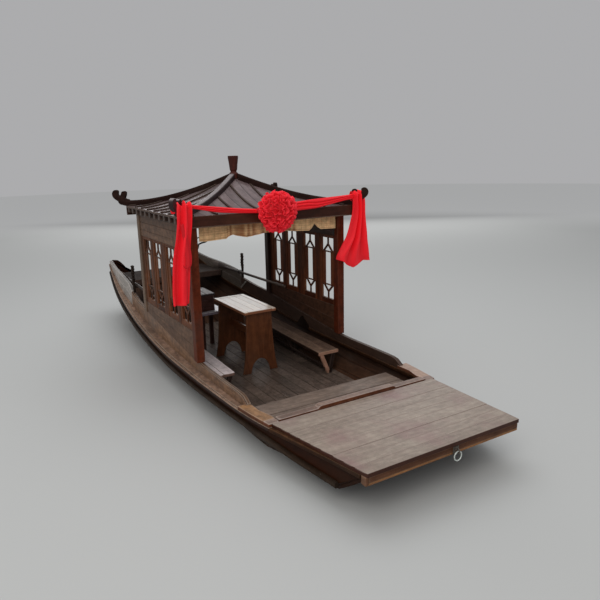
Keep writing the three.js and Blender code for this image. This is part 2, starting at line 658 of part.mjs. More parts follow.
// Each leg's middle, as its distance in from the seat's inner or outer edge at its top and foot.
const LEG = { half: 16, wide: 20, innerTop: 40, innerFoot: 130, outerTop: 62, outerFoot: 106 };
const BENCH_RAIL = { in: 88, half: 9, z0: 258, z1: 292 };
function bench(name, side) {
  const plan = BENCH_PLAN[name];
  const edges = (x) => {
    const t = (x - plan[0][0]) / (plan[1][0] - plan[0][0]);
    return [1, 2].map((k) => plan[0][k] + (plan[1][k] - plan[0][k]) * t);
  };
  const bearer = (rows) => loft(rows.map(([x, y0, y1, z0, z1]) => [
    [x, side * y0, z0], [x, side * y1, z0], [x, side * y1, z1], [x, side * y0, z1]]));
  const under = BENCH_TOP - BENCH_THICK;
  const seat = bearer(plan.map(([x, y0, y1]) => [x, y0, y1, under, BENCH_TOP]));
  const rail = bearer([BENCH_LEGS[0], BENCH_LEGS.at(-1)].map((x) => {
    const middle = edges(x)[0] + BENCH_RAIL.in;
    return [x, middle - BENCH_RAIL.half, middle + BENCH_RAIL.half, BENCH_RAIL.z0, BENCH_RAIL.z1];
  }));
  const leg = (x, top, foot) => loft([[top, under + 2], [foot, FLOOR_Z + SEAT_GAP]].map(([y, z]) => {
    const [y0, y1] = [side * (y - LEG.wide), side * (y + LEG.wide)];
    return [[x - LEG.half, y0, z], [x + LEG.half, y0, z], [x + LEG.half, y1, z], [x - LEG.half, y1, z]];
  }));
  const legs = BENCH_LEGS.flatMap((x) => {
    const [inner, outer] = edges(x);
    return [leg(x, inner + LEG.innerTop, inner + LEG.innerFoot),
      leg(x, outer - LEG.outerTop, outer - LEG.outerFoot)];
  });
  return join(seat, rail, ...legs);
}

const AFT_SEAT = { x0: -860, x1: -440, y0: -330, y1: -10, top: 713, thick: 34, leg: 44, inset: 16 };
const CHEST = { x0: -860, x1: -500, y0: -320, y1: -110, top: 920 };
function aftSeat() {
  const { x0, x1, y0, y1, top, thick, leg, inset } = AFT_SEAT;
  const seat = box(x0, x1, y0, y1, top - thick, top);
  const legs = [x0 + inset, x1 - inset - leg].flatMap((x) => [y0 + inset, y1 - inset - leg].map((y) => (
    box(x, x + leg, y, y + leg, FLOOR_Z + SEAT_GAP, top - thick + 4))));
  const chest = box(CHEST.x0, CHEST.x1, CHEST.y0, CHEST.y1, top - 2, CHEST.top);
  return join(seat, chest, ...legs);
}

// Fittings.

const ROWLOCK = { x: -1560, half: 759, radius: 18, top: 1165 };
const BINDING = { z0: 985, turns: 5, pitch: 39.6, high: 20, proud: 5 };     // rope turns round its head
const OAR = { handleX: -360, shaftX: -1990, bladeX: -2450, radius: 17, z: 905, half: 716, splay: 0.032 };
// From the shaft to the blade's end: x, half-thickness, half-height.
const OAR_BLADE = [[-1950, 16, 16], [-2060, 12, 30], [-2250, 9, 40], [OAR.bladeX, 8, 41]];
const OAR_LOOP = { radius: 23.9, rope: 6 };
const oarHalf = (x) => OAR.half + OAR.splay * (x - ROWLOCK.x);

function rowlockPost(side) {
  const at = (z) => [ROWLOCK.x, side * ROWLOCK.half, z];
  const stem = bar(at(coamingTop(ROWLOCK.x - ROWLOCK.radius)), at(ROWLOCK.top), ROWLOCK.radius, 8);
  const turns = Array.from({ length: BINDING.turns }, (_, i) => {
    const z = BINDING.z0 + BINDING.pitch * i;
    return bar(at(z), at(z + BINDING.high), ROWLOCK.radius + BINDING.proud, 8);
  });
  const loop = new THREE.TorusGeometry(OAR_LOOP.radius, OAR_LOOP.rope, 6, 24).rotateY(Math.PI / 2)
    .translate(ROWLOCK.x, side * OAR.half, OAR.z);
  return join(stem, loop, ...turns);
}

function oar(side) {
  const at = (x) => [x, side * oarHalf(x), OAR.z];
  const shaft = bar(at(OAR.shaftX), at(OAR.handleX), OAR.radius, 12);
  const blade = loft(OAR_BLADE.map(([x, thick, tall]) => {
    const y = side * oarHalf(x);
    return [[x, y - thick, OAR.z - tall], [x, y + thick, OAR.z - tall], [x, y + thick, OAR.z + tall],
      [x, y - thick, OAR.z + tall]];
  }));
  return join(shaft, blade);
}

// The ring hangs inside the eye: bend is the middle of its bar where it passes through.
const EYE = { x: 3174.5, y: 66, z: 497, hole: 10, bar: 4.5, plateHalf: 26, plateFront: 3156, shank: 6 };
const RING = { radius: 33, bar: 5 };
const RING_BEND_Z = EYE.z - EYE.hole + RING.bar + SEAT_GAP;
function mooringEye() {
  const { y, z, plateHalf, plateFront, shank } = EYE;
  const back = box(BOW_BEAM.x1 + SEAT_GAP, plateFront, y - plateHalf, y + plateHalf,
    z - plateHalf, z + plateHalf);
  const neck = bar([plateFront - 1, y, z], [EYE.x - EYE.hole - 1.5, y, z], shank, 8);
  const eye = new THREE.TorusGeometry(EYE.hole + EYE.bar, EYE.bar, 6, 16).rotateX(Math.PI / 2)
    .translate(EYE.x, y, z);
  return join(back, neck, eye);
}

function mooringRing() {
  return new THREE.TorusGeometry(RING.radius, RING.bar, 8, 24).rotateY(Math.PI / 2)
    .translate(EYE.x, EYE.y, RING_BEND_Z - RING.radius);
}

// Soft pieces.

// The blind's lower edge, from starboard to port: y, height.
const BLIND = {
  x0: 716, x1: 734, left: -735, right: 760,
  foot: [[-735, 1718], [-464, 1722], [-445, 1740], [-400, 1752], [-360, 1738], [-256, 1718], [-94, 1738],
    [0, 1746], [150, 1741], [440, 1722], [468, 1742], [500, 1784], [545, 1745], [580, 1724], [760, 1718]],
};
function bambooBlind() {
  const { x0, x1, left, right, foot } = BLIND;
  const top = BEAM_BOTTOM - SEAT_GAP;
  return plateAcross(outline([[left, top], ...foot, [right, top]]), x0, x1);
}

const FLOWER = { x: 941.7, y: -29, z: 1950, radius: 198, depth: 108 };
function sashFlower() {
  return new THREE.SphereGeometry(1, 20, 12).scale(FLOWER.depth, FLOWER.radius, FLOWER.radius)
    .translate(FLOWER.x, FLOWER.y, FLOWER.z);
}

// A strip that runs along the eave from the flower to the corner, and hangs from it beside the ridge.
// Swag rows: y, top, foot. End rows: height, the two edges' y.
const SASH_X = ROOF_MID_X + ROOF_HALF_X + FASCIA_THICK + 1;
const SASH = {
  starboard: {
    swag: [[-186, 1985, 1944], [-411, 2007, 1959], [-605, 2032, 1979], [-828, 2059, 2027],
      [-904, 2072, 2030]],
    end: [[2071, -905, -842], [1960, -905, -842], [1938, -990, -845], [1772, -1009, -860],
      [1602, -1045, -875], [1340, -1070, -898], [1196, -1072, -914]],
  },
  port: {
    swag: [[128, 2020, 1934], [350, 2038, 1943], [496, 2047, 1954], [796, 2060, 2005], [904, 2068, 2012]],
    end: [[2067, 842, 905], [1960, 842, 905], [1938, 881, 1026], [1855, 880, 1028], [1656, 822, 1050],
      [1560, 772, 1058], [1430, 688, 1082], [1374, 676, 1092]],
  },
};
const SWAG_DEEP = 26;
const END = { x: SASH_X + 3, deep: 32 };
function sash(name) {
  const strip = (x0, x1, rows) => loft(rows.map(([y0, z0, y1, z1]) => [
    [x0, y0, z0], [x1, y0, z0], [x1, y1, z1], [x0, y1, z1]]));
  const swag = strip(SASH_X, SASH_X + SWAG_DEEP, SASH[name].swag.map(([y, top, foot]) => [y, foot, y, top]));
  const end = strip(END.x, END.x + END.deep, SASH[name].end.map(([z, y0, y1]) => [y0, z, y1, z]));
  return join(swag, end);
}

// The model.

const boat = new THREE.Group();
const sides = [['starboard', -1], ['port', 1]];

function add(name, geometry, finish) {
  const [color, roughness, metalness] = FINISH[finish];
  const mesh = new THREE.Mesh(geometry, new THREE.MeshStandardMaterial({ color, roughness, metalness }));
  mesh.name = name;
  boat.add(mesh);
  return mesh;
}

add('hull_bottom', hullBottom(), 'hullWood');
add('stern_transom', sternTransom(), 'hullWood');
add('bow_beam', decks.bowBeam(), 'hullWood');
add('foredeck', decks.foredeck(), 'deckWood');
add('threshold_beam', thresholdBeam(), 'deckWood');
add('step_plank', stepPlank(), 'deckWood');
add('floor_boards', floorBoards(), 'floorWood');
add('stern_deck', sternDeck(), 'deckWood');
sides.forEach(([name, side]) => {
  add(`hull_side_${name}`, hullSide(side), 'hullWood');
  add(`gunwale_ledge_${name}`, gunwaleLedge(side), 'deckWood');
  add(`rub_strip_${name}`, rubStrip(side), 'hullWood');
  add(`coaming_${name}`, coaming(side), 'wallWood');
  add(`washboard_${name}`, standingBoard(side, washboardRows), 'wallWood');
  add(`post_front_${name}`, post(POST_FRONT_X - POST, side), 'postWood');
  add(`post_rear_${name}`, post(POST_REAR_X, side), 'postWood');
  add(`lower_panel_${name}`, lowerPanel(side), 'wallWood');
  add(`window_leaves_${name}`, windowLeaves(side), 'wallWood');
  add(`frieze_panel_${name}`, friezePanel(side), 'wallWood');
  add(`eave_beam_${name}`, eaveBeam(side), 'wallWood');
  add(`bench_${name}`, bench(name, side), 'benchWood');
  add(`rowlock_post_${name}`, rowlockPost(side), 'darkWood');
  add(`oar_${name}`, oar(side), 'benchWood');
  add(`sash_${name}`, sash(name), 'redCloth');
  [['front', 1], ['rear', -1]].forEach(([end, signX]) => {
    add(`hip_ridge_${end}_${name}`, hipRidge(signX, side), 'darkWood');
  });
});
ROOF_PLANES.forEach((plane) => add(`roof_panel_${plane.name}`, roofPanel(plane), 'roofWood'));
add('beam_front', crossBeam(POST_FRONT_X - POST, true), 'darkWood');
add('beam_rear', crossBeam(POST_REAR_X, false), 'darkWood');
add('fascia_front', fascia(true), 'darkWood');
add('fascia_rear', fascia(false), 'darkWood');
add('finial', finial(), 'finialWood');
add('table', table(), 'tableWood');
add('aft_seat', aftSeat(), 'darkWood');
add('mooring_eye', mooringEye(), 'iron');
add('mooring_ring', mooringRing(), 'iron');
add('bamboo_blind', bambooBlind(), 'bamboo');
add('sash_flower', sashFlower(), 'redCloth');

export default boat;
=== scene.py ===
"""Looks of a wooden pleasure boat with a pavilion cabin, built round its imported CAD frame.

Sizes are millimetres until a mesh is built. +X runs to the bow, +Y to port, +Z up.
"""

import logging
import math
from collections.abc import Callable
from dataclasses import dataclass, field
from enum import Enum

import bpy
import numpy as np
from mathutils import Matrix, Vector


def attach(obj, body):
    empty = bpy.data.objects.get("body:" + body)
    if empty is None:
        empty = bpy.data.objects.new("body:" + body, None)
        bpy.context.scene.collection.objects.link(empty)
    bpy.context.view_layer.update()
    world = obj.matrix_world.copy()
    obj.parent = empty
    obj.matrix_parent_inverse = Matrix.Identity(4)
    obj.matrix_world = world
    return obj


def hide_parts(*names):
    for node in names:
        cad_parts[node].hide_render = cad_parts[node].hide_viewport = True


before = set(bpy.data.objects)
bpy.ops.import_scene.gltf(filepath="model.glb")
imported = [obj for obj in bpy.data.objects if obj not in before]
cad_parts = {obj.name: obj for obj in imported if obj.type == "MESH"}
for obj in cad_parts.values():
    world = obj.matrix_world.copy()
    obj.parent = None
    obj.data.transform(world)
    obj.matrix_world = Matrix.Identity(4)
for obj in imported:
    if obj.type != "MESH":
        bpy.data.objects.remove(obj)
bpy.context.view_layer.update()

log = logging.getLogger("boat")
MM = 0.001
MAP_SPREAD = 40  # metres over which the pieces' maps are shifted, so that no two show the same grain
POINT_VALUES = ("tone", "edge", "up", "out")
Array = np.ndarray
Triple = tuple[Array, Array, Array]
Place = Callable[[Array, Array, Array], Triple]
Colour = tuple[float, float, float]


class Side(Enum):
    """A side of the boat: its word in piece names and its sign along Y."""

    STARBOARD = ("starboard", -1)
    PORT = ("port", 1)

    @property
    def word(self) -> str:
        """The side's word in names."""
        return self.value[0]

    @property
    def sign(self) -> int:
        """Which way the side lies along Y."""
        return self.value[1]


class End(Enum):
    """An end of the cabin: its word in piece names and its sign along X."""

    FRONT = ("front", 1)
    REAR = ("rear", -1)

    @property
    def word(self) -> str:
        """The end's word in names."""
        return self.value[0]

    @property
    def sign(self) -> int:
        """Which way the end lies along X."""
        return self.value[1]


# ---- the model's lines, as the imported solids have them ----


def fair(x_rows: Array, rows: Array, x: Array) -> Array:
    """A cubic through each pair of rows, with the slope at a row taken from its neighbours.

    Args:
        x_rows: where the rows stand.
        rows: the value at each row.
        x: where the value is wanted.

    Returns:
        The value at each x.
    """
    slope = np.empty_like(rows)
    slope[1:-1] = (rows[2:] - rows[:-2]) / (x_rows[2:] - x_rows[:-2])
    slope[0] = (rows[1] - rows[0]) / (x_rows[1] - x_rows[0])
    slope[-1] = (rows[-1] - rows[-2]) / (x_rows[-1] - x_rows[-2])
    i = np.clip(np.searchsorted(x_rows, x) - 1, 0, len(x_rows) - 2)
    h = x_rows[i + 1] - x_rows[i]
    t = (x - x_rows[i]) / h
    return (
        (2 * t**3 - 3 * t**2 + 1) * rows[i]
        + (t**3 - 2 * t**2 + t) * h * slope[i]
        + (3 * t**2 - 2 * t**3) * rows[i + 1]
        + (t**3 - t**2) * h * slope[i + 1]
    )


class Lines:
    """The boat's lines: every value is a function of x.

    Station columns: x, ledge half-breadth, ledge top, half-breadth and height of the knuckle,
    half-breadth and height of the bottom's edge. Board columns: x, half-breadth, top.
    """

    STATIONS = np.array([
        [-3060, 705, 960, 682, 828, 436, 520], [-2700, 757, 850, 735, 722, 466, 330],
        [-2180, 818, 722, 795, 606, 502, 148], [-1500, 885, 640, 860, 530, 532, 34],
        [-862, 922, 572, 898, 468, 550, 0], [0, 940, 508, 914, 404, 560, 0],
        [748, 928, 490, 905, 388, 560, 0], [1322, 908, 486, 885, 390, 562, 12],
        [1782, 884, 486, 860, 394, 575, 55], [2148, 838, 489, 824, 384, 604, 120],
        [2472, 790, 503, 776, 364, 646, 205], [2880, 731, 520, 714, 352, 702, 312],
    ], float)
    BOW_END = np.array([[3085, 706, 529, 680, 497, 679, 462]], float)
    COAMING = np.array([
        [-1600, 768, 822], [-1250, 790, 772], [-862, 803, 745], [0, 803, 655], [748, 803, 580],
        [1322, 803, 575], [1600, 800, 575], [1690, 799, 562], [1750, 798, 521],
    ], float)
    WASHBOARD = np.array([
        [-3090, 668, 1008], [-2700, 702, 968], [-2180, 738, 944], [-1760, 762, 908],
        [-1660, 766, 878], [-1601, 768, 832],
    ], float)
    LAST_FAIR_X = 2148  # the foredeck's rear

    def __init__(self) -> None:
        """Works the stations out on a fine row of x, straight between them past the foredeck's rear."""
        fine = np.linspace(self.STATIONS[0, 0], self.LAST_FAIR_X, 100)
        table = np.stack([fair(self.STATIONS[:, 0], self.STATIONS[:, k], fine) for k in range(7)], 1)
        self.rows = np.concatenate([table, self.STATIONS[-2:], self.BOW_END])

    def station(self, column: int, x: Array) -> Array:
        """A station column at x, never below the flat bottom."""
        return np.maximum(np.interp(x, self.rows[:, 0], self.rows[:, column]), 0)

    def beam(self, x: Array) -> Array:
        """Half-breadth over the ledge."""
        return self.station(1, x)

    def sheer(self, x: Array) -> Array:
        """Height of the ledge's top."""
        return self.station(2, x)

    def knuckle(self, x: Array) -> tuple[Array, Array]:
        """Half-breadth and height of the knuckle."""
        return self.station(3, x), self.station(4, x)

    def chine(self, x: Array) -> tuple[Array, Array]:
        """Half-breadth and height of the bottom's edge."""
        return self.station(5, x), self.station(6, x)

    def board(self, table: Array, column: int, x: Array) -> Array:
        """A column of a standing board's table at x."""
        return fair(table[:, 0], table[:, column], np.clip(x, table[0, 0], table[-1, 0]))

    def plan(self, table: Array, x: Array) -> Array:
        """Half-breadth of a standing board's middle."""
        return self.board(table, 1, x)

    def crest(self, table: Array, x: Array) -> Array:
        """Height of a standing board's top."""
        return self.board(table, 2, x)

    def ledge_inner(self, x: Array) -> Array:
        """Half-breadth of the ledge's inner edge, under the standing boards or near the bow's side."""
        low, high = self.plan(self.WASHBOARD, x), self.plan(self.COAMING, x)
        return np.where(x > 1900, self.beam(x) - 105, np.where(x < -1600, low, high) - 28)


LINES = Lines()


# ---- mesh making ----

# A board's section, as sixteen points round it: the side it is on across (t) and through (n), and
# how far in it lies from that side, 0 at the face, 1 past the bevel, 2 past the worn band.
SECTION = np.array([
    [1, -1, 0, 1], [1, -1, 0, 2], [1, 1, 0, 2], [1, 1, 0, 1],
    [1, 1, 1, 0], [1, 1, 2, 0], [-1, 1, 2, 0], [-1, 1, 1, 0],
    [-1, 1, 0, 1], [-1, 1, 0, 2], [-1, -1, 0, 2], [-1, -1, 0, 1],
    [-1, -1, 1, 0], [-1, -1, 2, 0], [1, -1, 2, 0], [1, -1, 1, 0],
])
WORN_POINTS = np.any(SECTION[:, 2:] == 1, axis=1).astype(float)


def same(s: Array, t: Array, n: Array) -> Triple:
    """Boards along X, with their width along Y and their thickness along Z."""
    return s, t, n


def athwart(s: Array, t: Array, n: Array) -> Triple:
    """Boards along Y, with their width along X and their thickness along Z."""
    return t, s, n


def upright(s: Array, t: Array, n: Array) -> Triple:
    """Boards along Z, with their width along X and their thickness along Y."""
    return t, n, s


def standing(s: Array, t: Array, n: Array) -> Triple:
    """Boards along X, with their width along Z and their thickness along Y."""
    return s, n, t


def facing(s: Array, t: Array, n: Array) -> Triple:
    """Boards along Y, with their width along Z and their thickness along X."""
    return n, s, t


def crosswise(s: Array, t: Array, n: Array) -> Triple:
    """Outlines across the boat: s up, t athwart and their thickness along X."""
    return n, t, s


def on_side(place: Place, side: Side) -> Place:
    """A place function carried to a side of the boat.

    Args:
        place: the place function for the port side.
        side: the side that it is wanted for.

    Returns:
        The same place function with y times the side's sign.
    """
    def there(s: Array, t: Array, n: Array) -> Triple:
        """The place with its y on the side."""
        x, y, z = place(s, t, n)
        return x, side.sign * y, z

    return there


def bar_between(start: Array, end: Array, normal: Array) -> Place:
    """A straight bar from start to end: s runs along it, n along the normal, t across both.

    Args:
        start: where s is 0.
        end: the far end, where s is the bar's length.
        normal: the direction of the bar's thickness.

    Returns:
        The place function.
    """
    start, end, normal = (np.asarray(v, float) for v in (start, end, normal))
    along = (end - start) / np.linalg.norm(end - start)
    normal = normal - along * (normal @ along)
    normal /= np.linalg.norm(normal)
    across = np.cross(normal, along)

    def place(s: Array, t: Array, n: Array) -> Triple:
        """start + s along + t across + n normal."""
        p = start + s[..., None] * along + t[..., None] * across + n[..., None] * normal
        return p[..., 0], p[..., 1], p[..., 2]

    return place


def slices(low: float, high: float, count: int, gap: float = 1.5, wobble: float = 0.0,
           rng: np.random.Generator | None = None) -> list[tuple[float, float]]:
    """Splits a width into boards with gaps between them.

    Args:
        low: where the first board starts.
        high: where the last ends.
        count: how many boards.
        gap: the space between two boards.
        wobble: how far the seams stray from even, as a share of a board.
        rng: the draws for the wobble.

    Returns:
        Each board's start and end.
    """
    marks = np.linspace(low, high, count + 1)
    if rng is not None and count > 1:
        marks[1:-1] += (rng.random(count - 1) - 0.5) * wobble * (high - low) / count
    return [(a + (gap / 2 if i else 0), b - (gap / 2 if i < count - 1 else 0))
            for i, (a, b) in enumerate(zip(marks[:-1], marks[1:]))]


def turns(count: int) -> Array:
    """Angles spread evenly round a circle, in radians."""
    return np.linspace(0, 2 * np.pi, count, endpoint=False)


def circle(centre: tuple[float, float, float], radius: float, count: int, flat_axis: int) -> Array:
    """Points round a circle: centre + radius (cos a, sin a) in the two directions across the flat axis."""
    ring = radius * np.stack([np.cos(turns(count)), np.sin(turns(count))], -1)
    return np.array(centre) + np.insert(ring, flat_axis, 0, axis=1)


def drawn(rows: Array, count: int) -> Array:
    """The columns of a table at places spread evenly along its rows, straight between them."""
    u = np.linspace(0, len(rows) - 1, count)
    return np.stack([np.interp(u, np.arange(len(rows)), column) for column in rows.T])


def lattice(rings: int, around: int, joined: bool = False) -> tuple[Array, Array, Array]:
    """The faces between rings of points.

    Args:
        rings: how many rings.
        around: points in each, which close on themselves.
        joined: whether the last ring meets the first.

    Returns:
        Each face's ring and place in it, and its four point numbers, as (faces, 4).
    """
    i, j = np.meshgrid(np.arange(rings if joined else rings - 1), np.arange(around), indexing="ij")
    i2, j2 = (i + 1) % rings, (j + 1) % around
    return i, j, np.stack([i * around + j, i * around + j2, i2 * around + j2, i2 * around + j], -1).reshape(-1, 4)


def quad_map(u: Array, v: Array, i: Array, j: Array) -> Array:
    """Map places of the four corners of faces that start at row i and column j, as (faces, 4, 2)."""
    corners = (np.stack([u[i], u[i], u[i + 1], u[i + 1]], -1), np.stack([v[j], v[j + 1], v[j + 1], v[j]], -1))
    return np.stack(corners, -1).reshape(-1, 4, 2)


@dataclass
class Shape:
    """The parts of one mesh as arrays: points in mm, faces with their map places, and two values a point.

    The map runs along the grain (u) and across it (v), in metres. tone differs from board to board, and
    edge is 1 where a piece wears first.
    """

    seed: int = 1
    points: list[Array] = field(default_factory=list)
    faces: list[list[list[int]]] = field(default_factory=list)
    maps: list[Array] = field(default_factory=list)
    tones: list[Array] = field(default_factory=list)
    edges: list[Array] = field(default_factory=list)
    count: int = 0

    def __post_init__(self) -> None:
        """Starts the piece's own row of random draws."""
        self.rng = np.random.default_rng(self.seed)

    def put(self, points: Array, faces: list[tuple[Array, Array]], tone: Array, edge: Array, shut: bool) -> None:
        """Adds one part, and turns it the right way out if it is closed.

        Args:
            points: (n, 3).
            faces: pairs of a (f, k) array of point numbers and a (f, k, 2) array of map places.
            tone: one value a point.
            edge: one value a point.
            shut: whether the part is a closed shell.
        """
        if shut:
            fans = [f[:, [0, i, i + 1]] for f, _ in faces for i in range(1, f.shape[1] - 1)]
            a, b, c = (points[np.concatenate(fans)[:, i]] for i in range(3))
            if np.einsum("ij,ij->", a, np.cross(b, c)) < 0:
                faces = [(f[:, ::-1], m[:, ::-1]) for f, m in faces]
        self.points.append(points)
        self.tones.append(np.broadcast_to(tone, len(points)))
        self.edges.append(np.broadcast_to(edge, len(points)))
        for f, m in faces:
            self.faces.append((f + self.count).tolist())
            self.maps.append(m.reshape(-1, 2))
        self.count += len(points)

    def boards(
        self, spans: list[tuple[float, ...]], place: Place = same, bevel: float = 2.5, worn: float = 14,
        steps: int = 1, tones: list[float] | None = None,
    ) -> "Shape":
        """Adds boards, each a box in (s, t, n) with bevelled corners, carried to its place by a formula.

        A board's rings stand at its bevel and its worn band at each end, and evenly between them. The
        section is SECTION scaled to the board.

        Args:
            spans: a row of s0, s1, t0, t1, n0, n1 for each board.
            place: turns (s, t, n) into (x, y, z).
            bevel: width of the bevel.
            worn: width of the band in which an edge shows wear.
            steps: stretches between the end bands.
            tones: each board's tone, or random ones.

        Returns:
            This shape.
        """
        rows = np.asarray(spans, float)
        for k, (s0, s1, t0, t1, n0, n1) in enumerate(rows):
            half_t, half_n, long = abs(t1 - t0) / 2, abs(n1 - n0) / 2, s1 - s0
            b = min(bevel, 0.3 * half_t, 0.3 * half_n, 0.2 * long)
            w = np.minimum(b + worn, 0.8 * np.array([half_t, half_n]))
            s = np.concatenate([[s0, s0 + b], np.linspace(s0 + min(b + worn, 0.4 * long),
                                s1 - min(b + worn, 0.4 * long), steps + 1), [s1 - b, s1]])
            inset = np.zeros((len(s), 1))
            inset[[0, -1]] = b
            depth_t = np.array([0, b, w[0]])[SECTION[:, 2]]
            depth_n = np.array([0, b, w[1]])[SECTION[:, 3]]
            t = (t0 + t1) / 2 + SECTION[:, 0] * (half_t - np.maximum(depth_t, inset))
            n = (n0 + n1) / 2 + SECTION[:, 1] * (half_n - np.maximum(depth_n, inset))
            grid = np.stack(place(np.broadcast_to(s[:, None], t.shape), t, n), -1)
            edge = np.broadcast_to(WORN_POINTS, t.shape).copy()
            edge[:2] = edge[-2:] = 1
            tone = self.rng.random() if tones is None else tones[k % len(tones)]
            self.tube(grid, tone=tone, edge=edge, along=s)
        return self

    def tube(self, grid: Array, tone: Array | float = 0.5, edge: Array | float = 0.0, along: Array | None = None,
             ring: bool = False) -> "Shape":
        """Adds a closed form: rings of points joined in order, with a flat face at each end.

        Args:
            grid: (rings, points, 3).
            tone: the part's tone, or one for each point in a row.
            edge: wear, as one number or one for each point.
            along: u of each ring in mm, or its distance from the first.
            ring: whether the last ring joins the first, so that there are no ends.

        Returns:
            This shape.
        """
        rings, around, _ = grid.shape
        i, j, quads = lattice(rings, around, ring)
        if along is None:
            gaps = np.linalg.norm(np.diff(grid.mean(1), axis=0), axis=1)
            along = np.concatenate([[0], np.cumsum(gaps)])
        along = np.append(along, along[-1] + (along[-1] - along[-2])) if ring else along
        loop = grid[rings // 2]
        girth = np.concatenate([[0], np.cumsum(np.linalg.norm(np.roll(loop, -1, 0) - loop, axis=1))])
        shift = self.rng.random(2) * MAP_SPREAD
        u, v = along * MM + shift[0], girth * MM + shift[1]
        faces = [(quads, quad_map(u, v, i, j))]
        if not ring:
            for end, turn in ((0, -1), (rings - 1, 1)):
                cap = (end * around + np.arange(around))[::-turn][None]
                ring_uv = np.stack([np.full(around, u[end]), v[:-1]], -1)[::-turn][None]
                faces.append((cap, ring_uv))
        edge = np.broadcast_to(edge, (rings, around)).reshape(-1)
        self.put(grid.reshape(-1, 3), faces, tone, edge, True)
        return self

    def sheet(self, grid: Array, flat: tuple[float, float], tone: Array | float = 0.5,
              edge: Array | float = 0.0) -> "Shape":
        """Adds an open sheet: a grid of points, mapped as it was before it was folded.

        Args:
            grid: (rows, columns, 3).
            flat: the sheet's length down the rows and width along the columns, in mm.
            tone: one number or one for each point.
            edge: wear or shade, likewise.

        Returns:
            This shape.
        """
        rows, columns, _ = grid.shape
        i, j = np.meshgrid(np.arange(rows - 1), np.arange(columns - 1), indexing="ij")
        quads = np.stack([i, i, i + 1, i + 1], -1) * columns + np.stack([j, j + 1, j + 1, j], -1)
        u, v = np.linspace(0, flat[0], rows) * MM, np.linspace(0, flat[1], columns) * MM
        tone = np.broadcast_to(tone, (rows, columns)).reshape(-1)
        edge = np.broadcast_to(edge, (rows, columns)).reshape(-1)
        self.put(grid.reshape(-1, 3), [(quads.reshape(-1, 4), quad_map(u, v, i, j))], tone, edge, False)
        return self

    def plaque(self, outline: Array, low: float, high: float, place: Place, bevel: float = 2.5, worn: float = 10,
               tone: float = 0.5) -> "Shape":
        """Adds a flat piece cut to an outline, with its grain along the outline's first axis.

        Each ring is the outline moved in by a depth: the bevel at both faces, then the worn band.

        Args:
            outline: (points, 2), the closed line as (s, t).
            low: n of one face.
            high: n of the other.
            place: turns (s, t, n) into (x, y, z).
            bevel: width of the bevel.
            worn: width of the band in which the edge shows wear.
            tone: the piece's tone.

        Returns:
            This shape.
        """
        ahead = np.roll(outline, -1, 0) - np.roll(outline, 1, 0)
        ahead /= np.maximum(np.linalg.norm(ahead, axis=1, keepdims=True), 1e-9)
        area = np.sum(outline[:, 0] * np.roll(outline[:, 1], -1) - outline[:, 1] * np.roll(outline[:, 0], -1))
        inward = np.stack([-ahead[:, 1], ahead[:, 0]], -1) * np.sign(area)
        depth = np.array([bevel + worn, bevel, 0, 0, bevel, bevel + worn])
        n = np.array([low, low, low + bevel, high - bevel, high, high])
        ring = outline + inward * depth[:, None, None]
        grid = np.stack(place(ring[..., 0], ring[..., 1], np.broadcast_to(n[:, None], ring.shape[:2])), -1)
        rings, around, _ = grid.shape
        uv = ring.reshape(-1, 2) * MM + self.rng.random(2) * MAP_SPREAD
        first, last = np.arange(around)[::-1][None], ((rings - 1) * around + np.arange(around))[None]
        faces = [(f, uv[f]) for f in (lattice(rings, around)[2], first, last)]
        edge = np.repeat(np.array([0, 1, 1, 1, 1, 0.0]), around)
        self.put(grid.reshape(-1, 3), faces, tone, edge, True)
        return self

    def pipe(self, path: Array, radius: Array | float, sides: int = 12, tone: float = 0.5, ring: bool = False,
             turn: Array | float = 0.0, lobes: tuple[int, float] = (0, 0.0)) -> "Shape":
        """Adds a bar along a path: p + r (cos a across + sin a up), with r (1 + depth cos(lobes a)).

        Args:
            path: (rings, 3) points of the middle line.
            radius: the bar's radius at each ring.
            sides: points round the bar.
            tone: its tone.
            ring: whether the path is closed.
            turn: how far each ring is twisted, in radians.
            lobes: the number of lobes round the bar, and their depth as a share of the radius.

        Returns:
            This shape.
        """
        path = np.asarray(path, float)
        tangent = (np.roll(path, -1, 0) - np.roll(path, 1, 0)) if ring else np.gradient(path, axis=0)
        tangent /= np.linalg.norm(tangent, axis=1, keepdims=True)
        lead = np.array([0.0, 0, 1]) if abs(tangent[:, 2]).mean() < 0.8 else np.array([0.0, 1, 0])
        if ring:
            lead = np.cross(path[0] - path.mean(0), path[len(path) // 4] - path.mean(0))
        across = np.cross(lead, tangent)
        across /= np.linalg.norm(across, axis=1, keepdims=True)
        up = np.cross(tangent, across)
        radius, turn = (np.broadcast_to(value, len(path))[:, None] for value in (radius, turn))
        angle = turns(sides)[None] + turn
        count, depth = lobes
        r = radius * (1 + depth * np.cos(count * (angle - turn)))
        wide, high = ((r * wave(angle))[..., None] for wave in (np.cos, np.sin))
        grid = path[:, None] + wide * across[:, None] + high * up[:, None]
        return self.tube(grid, tone=tone, ring=ring)

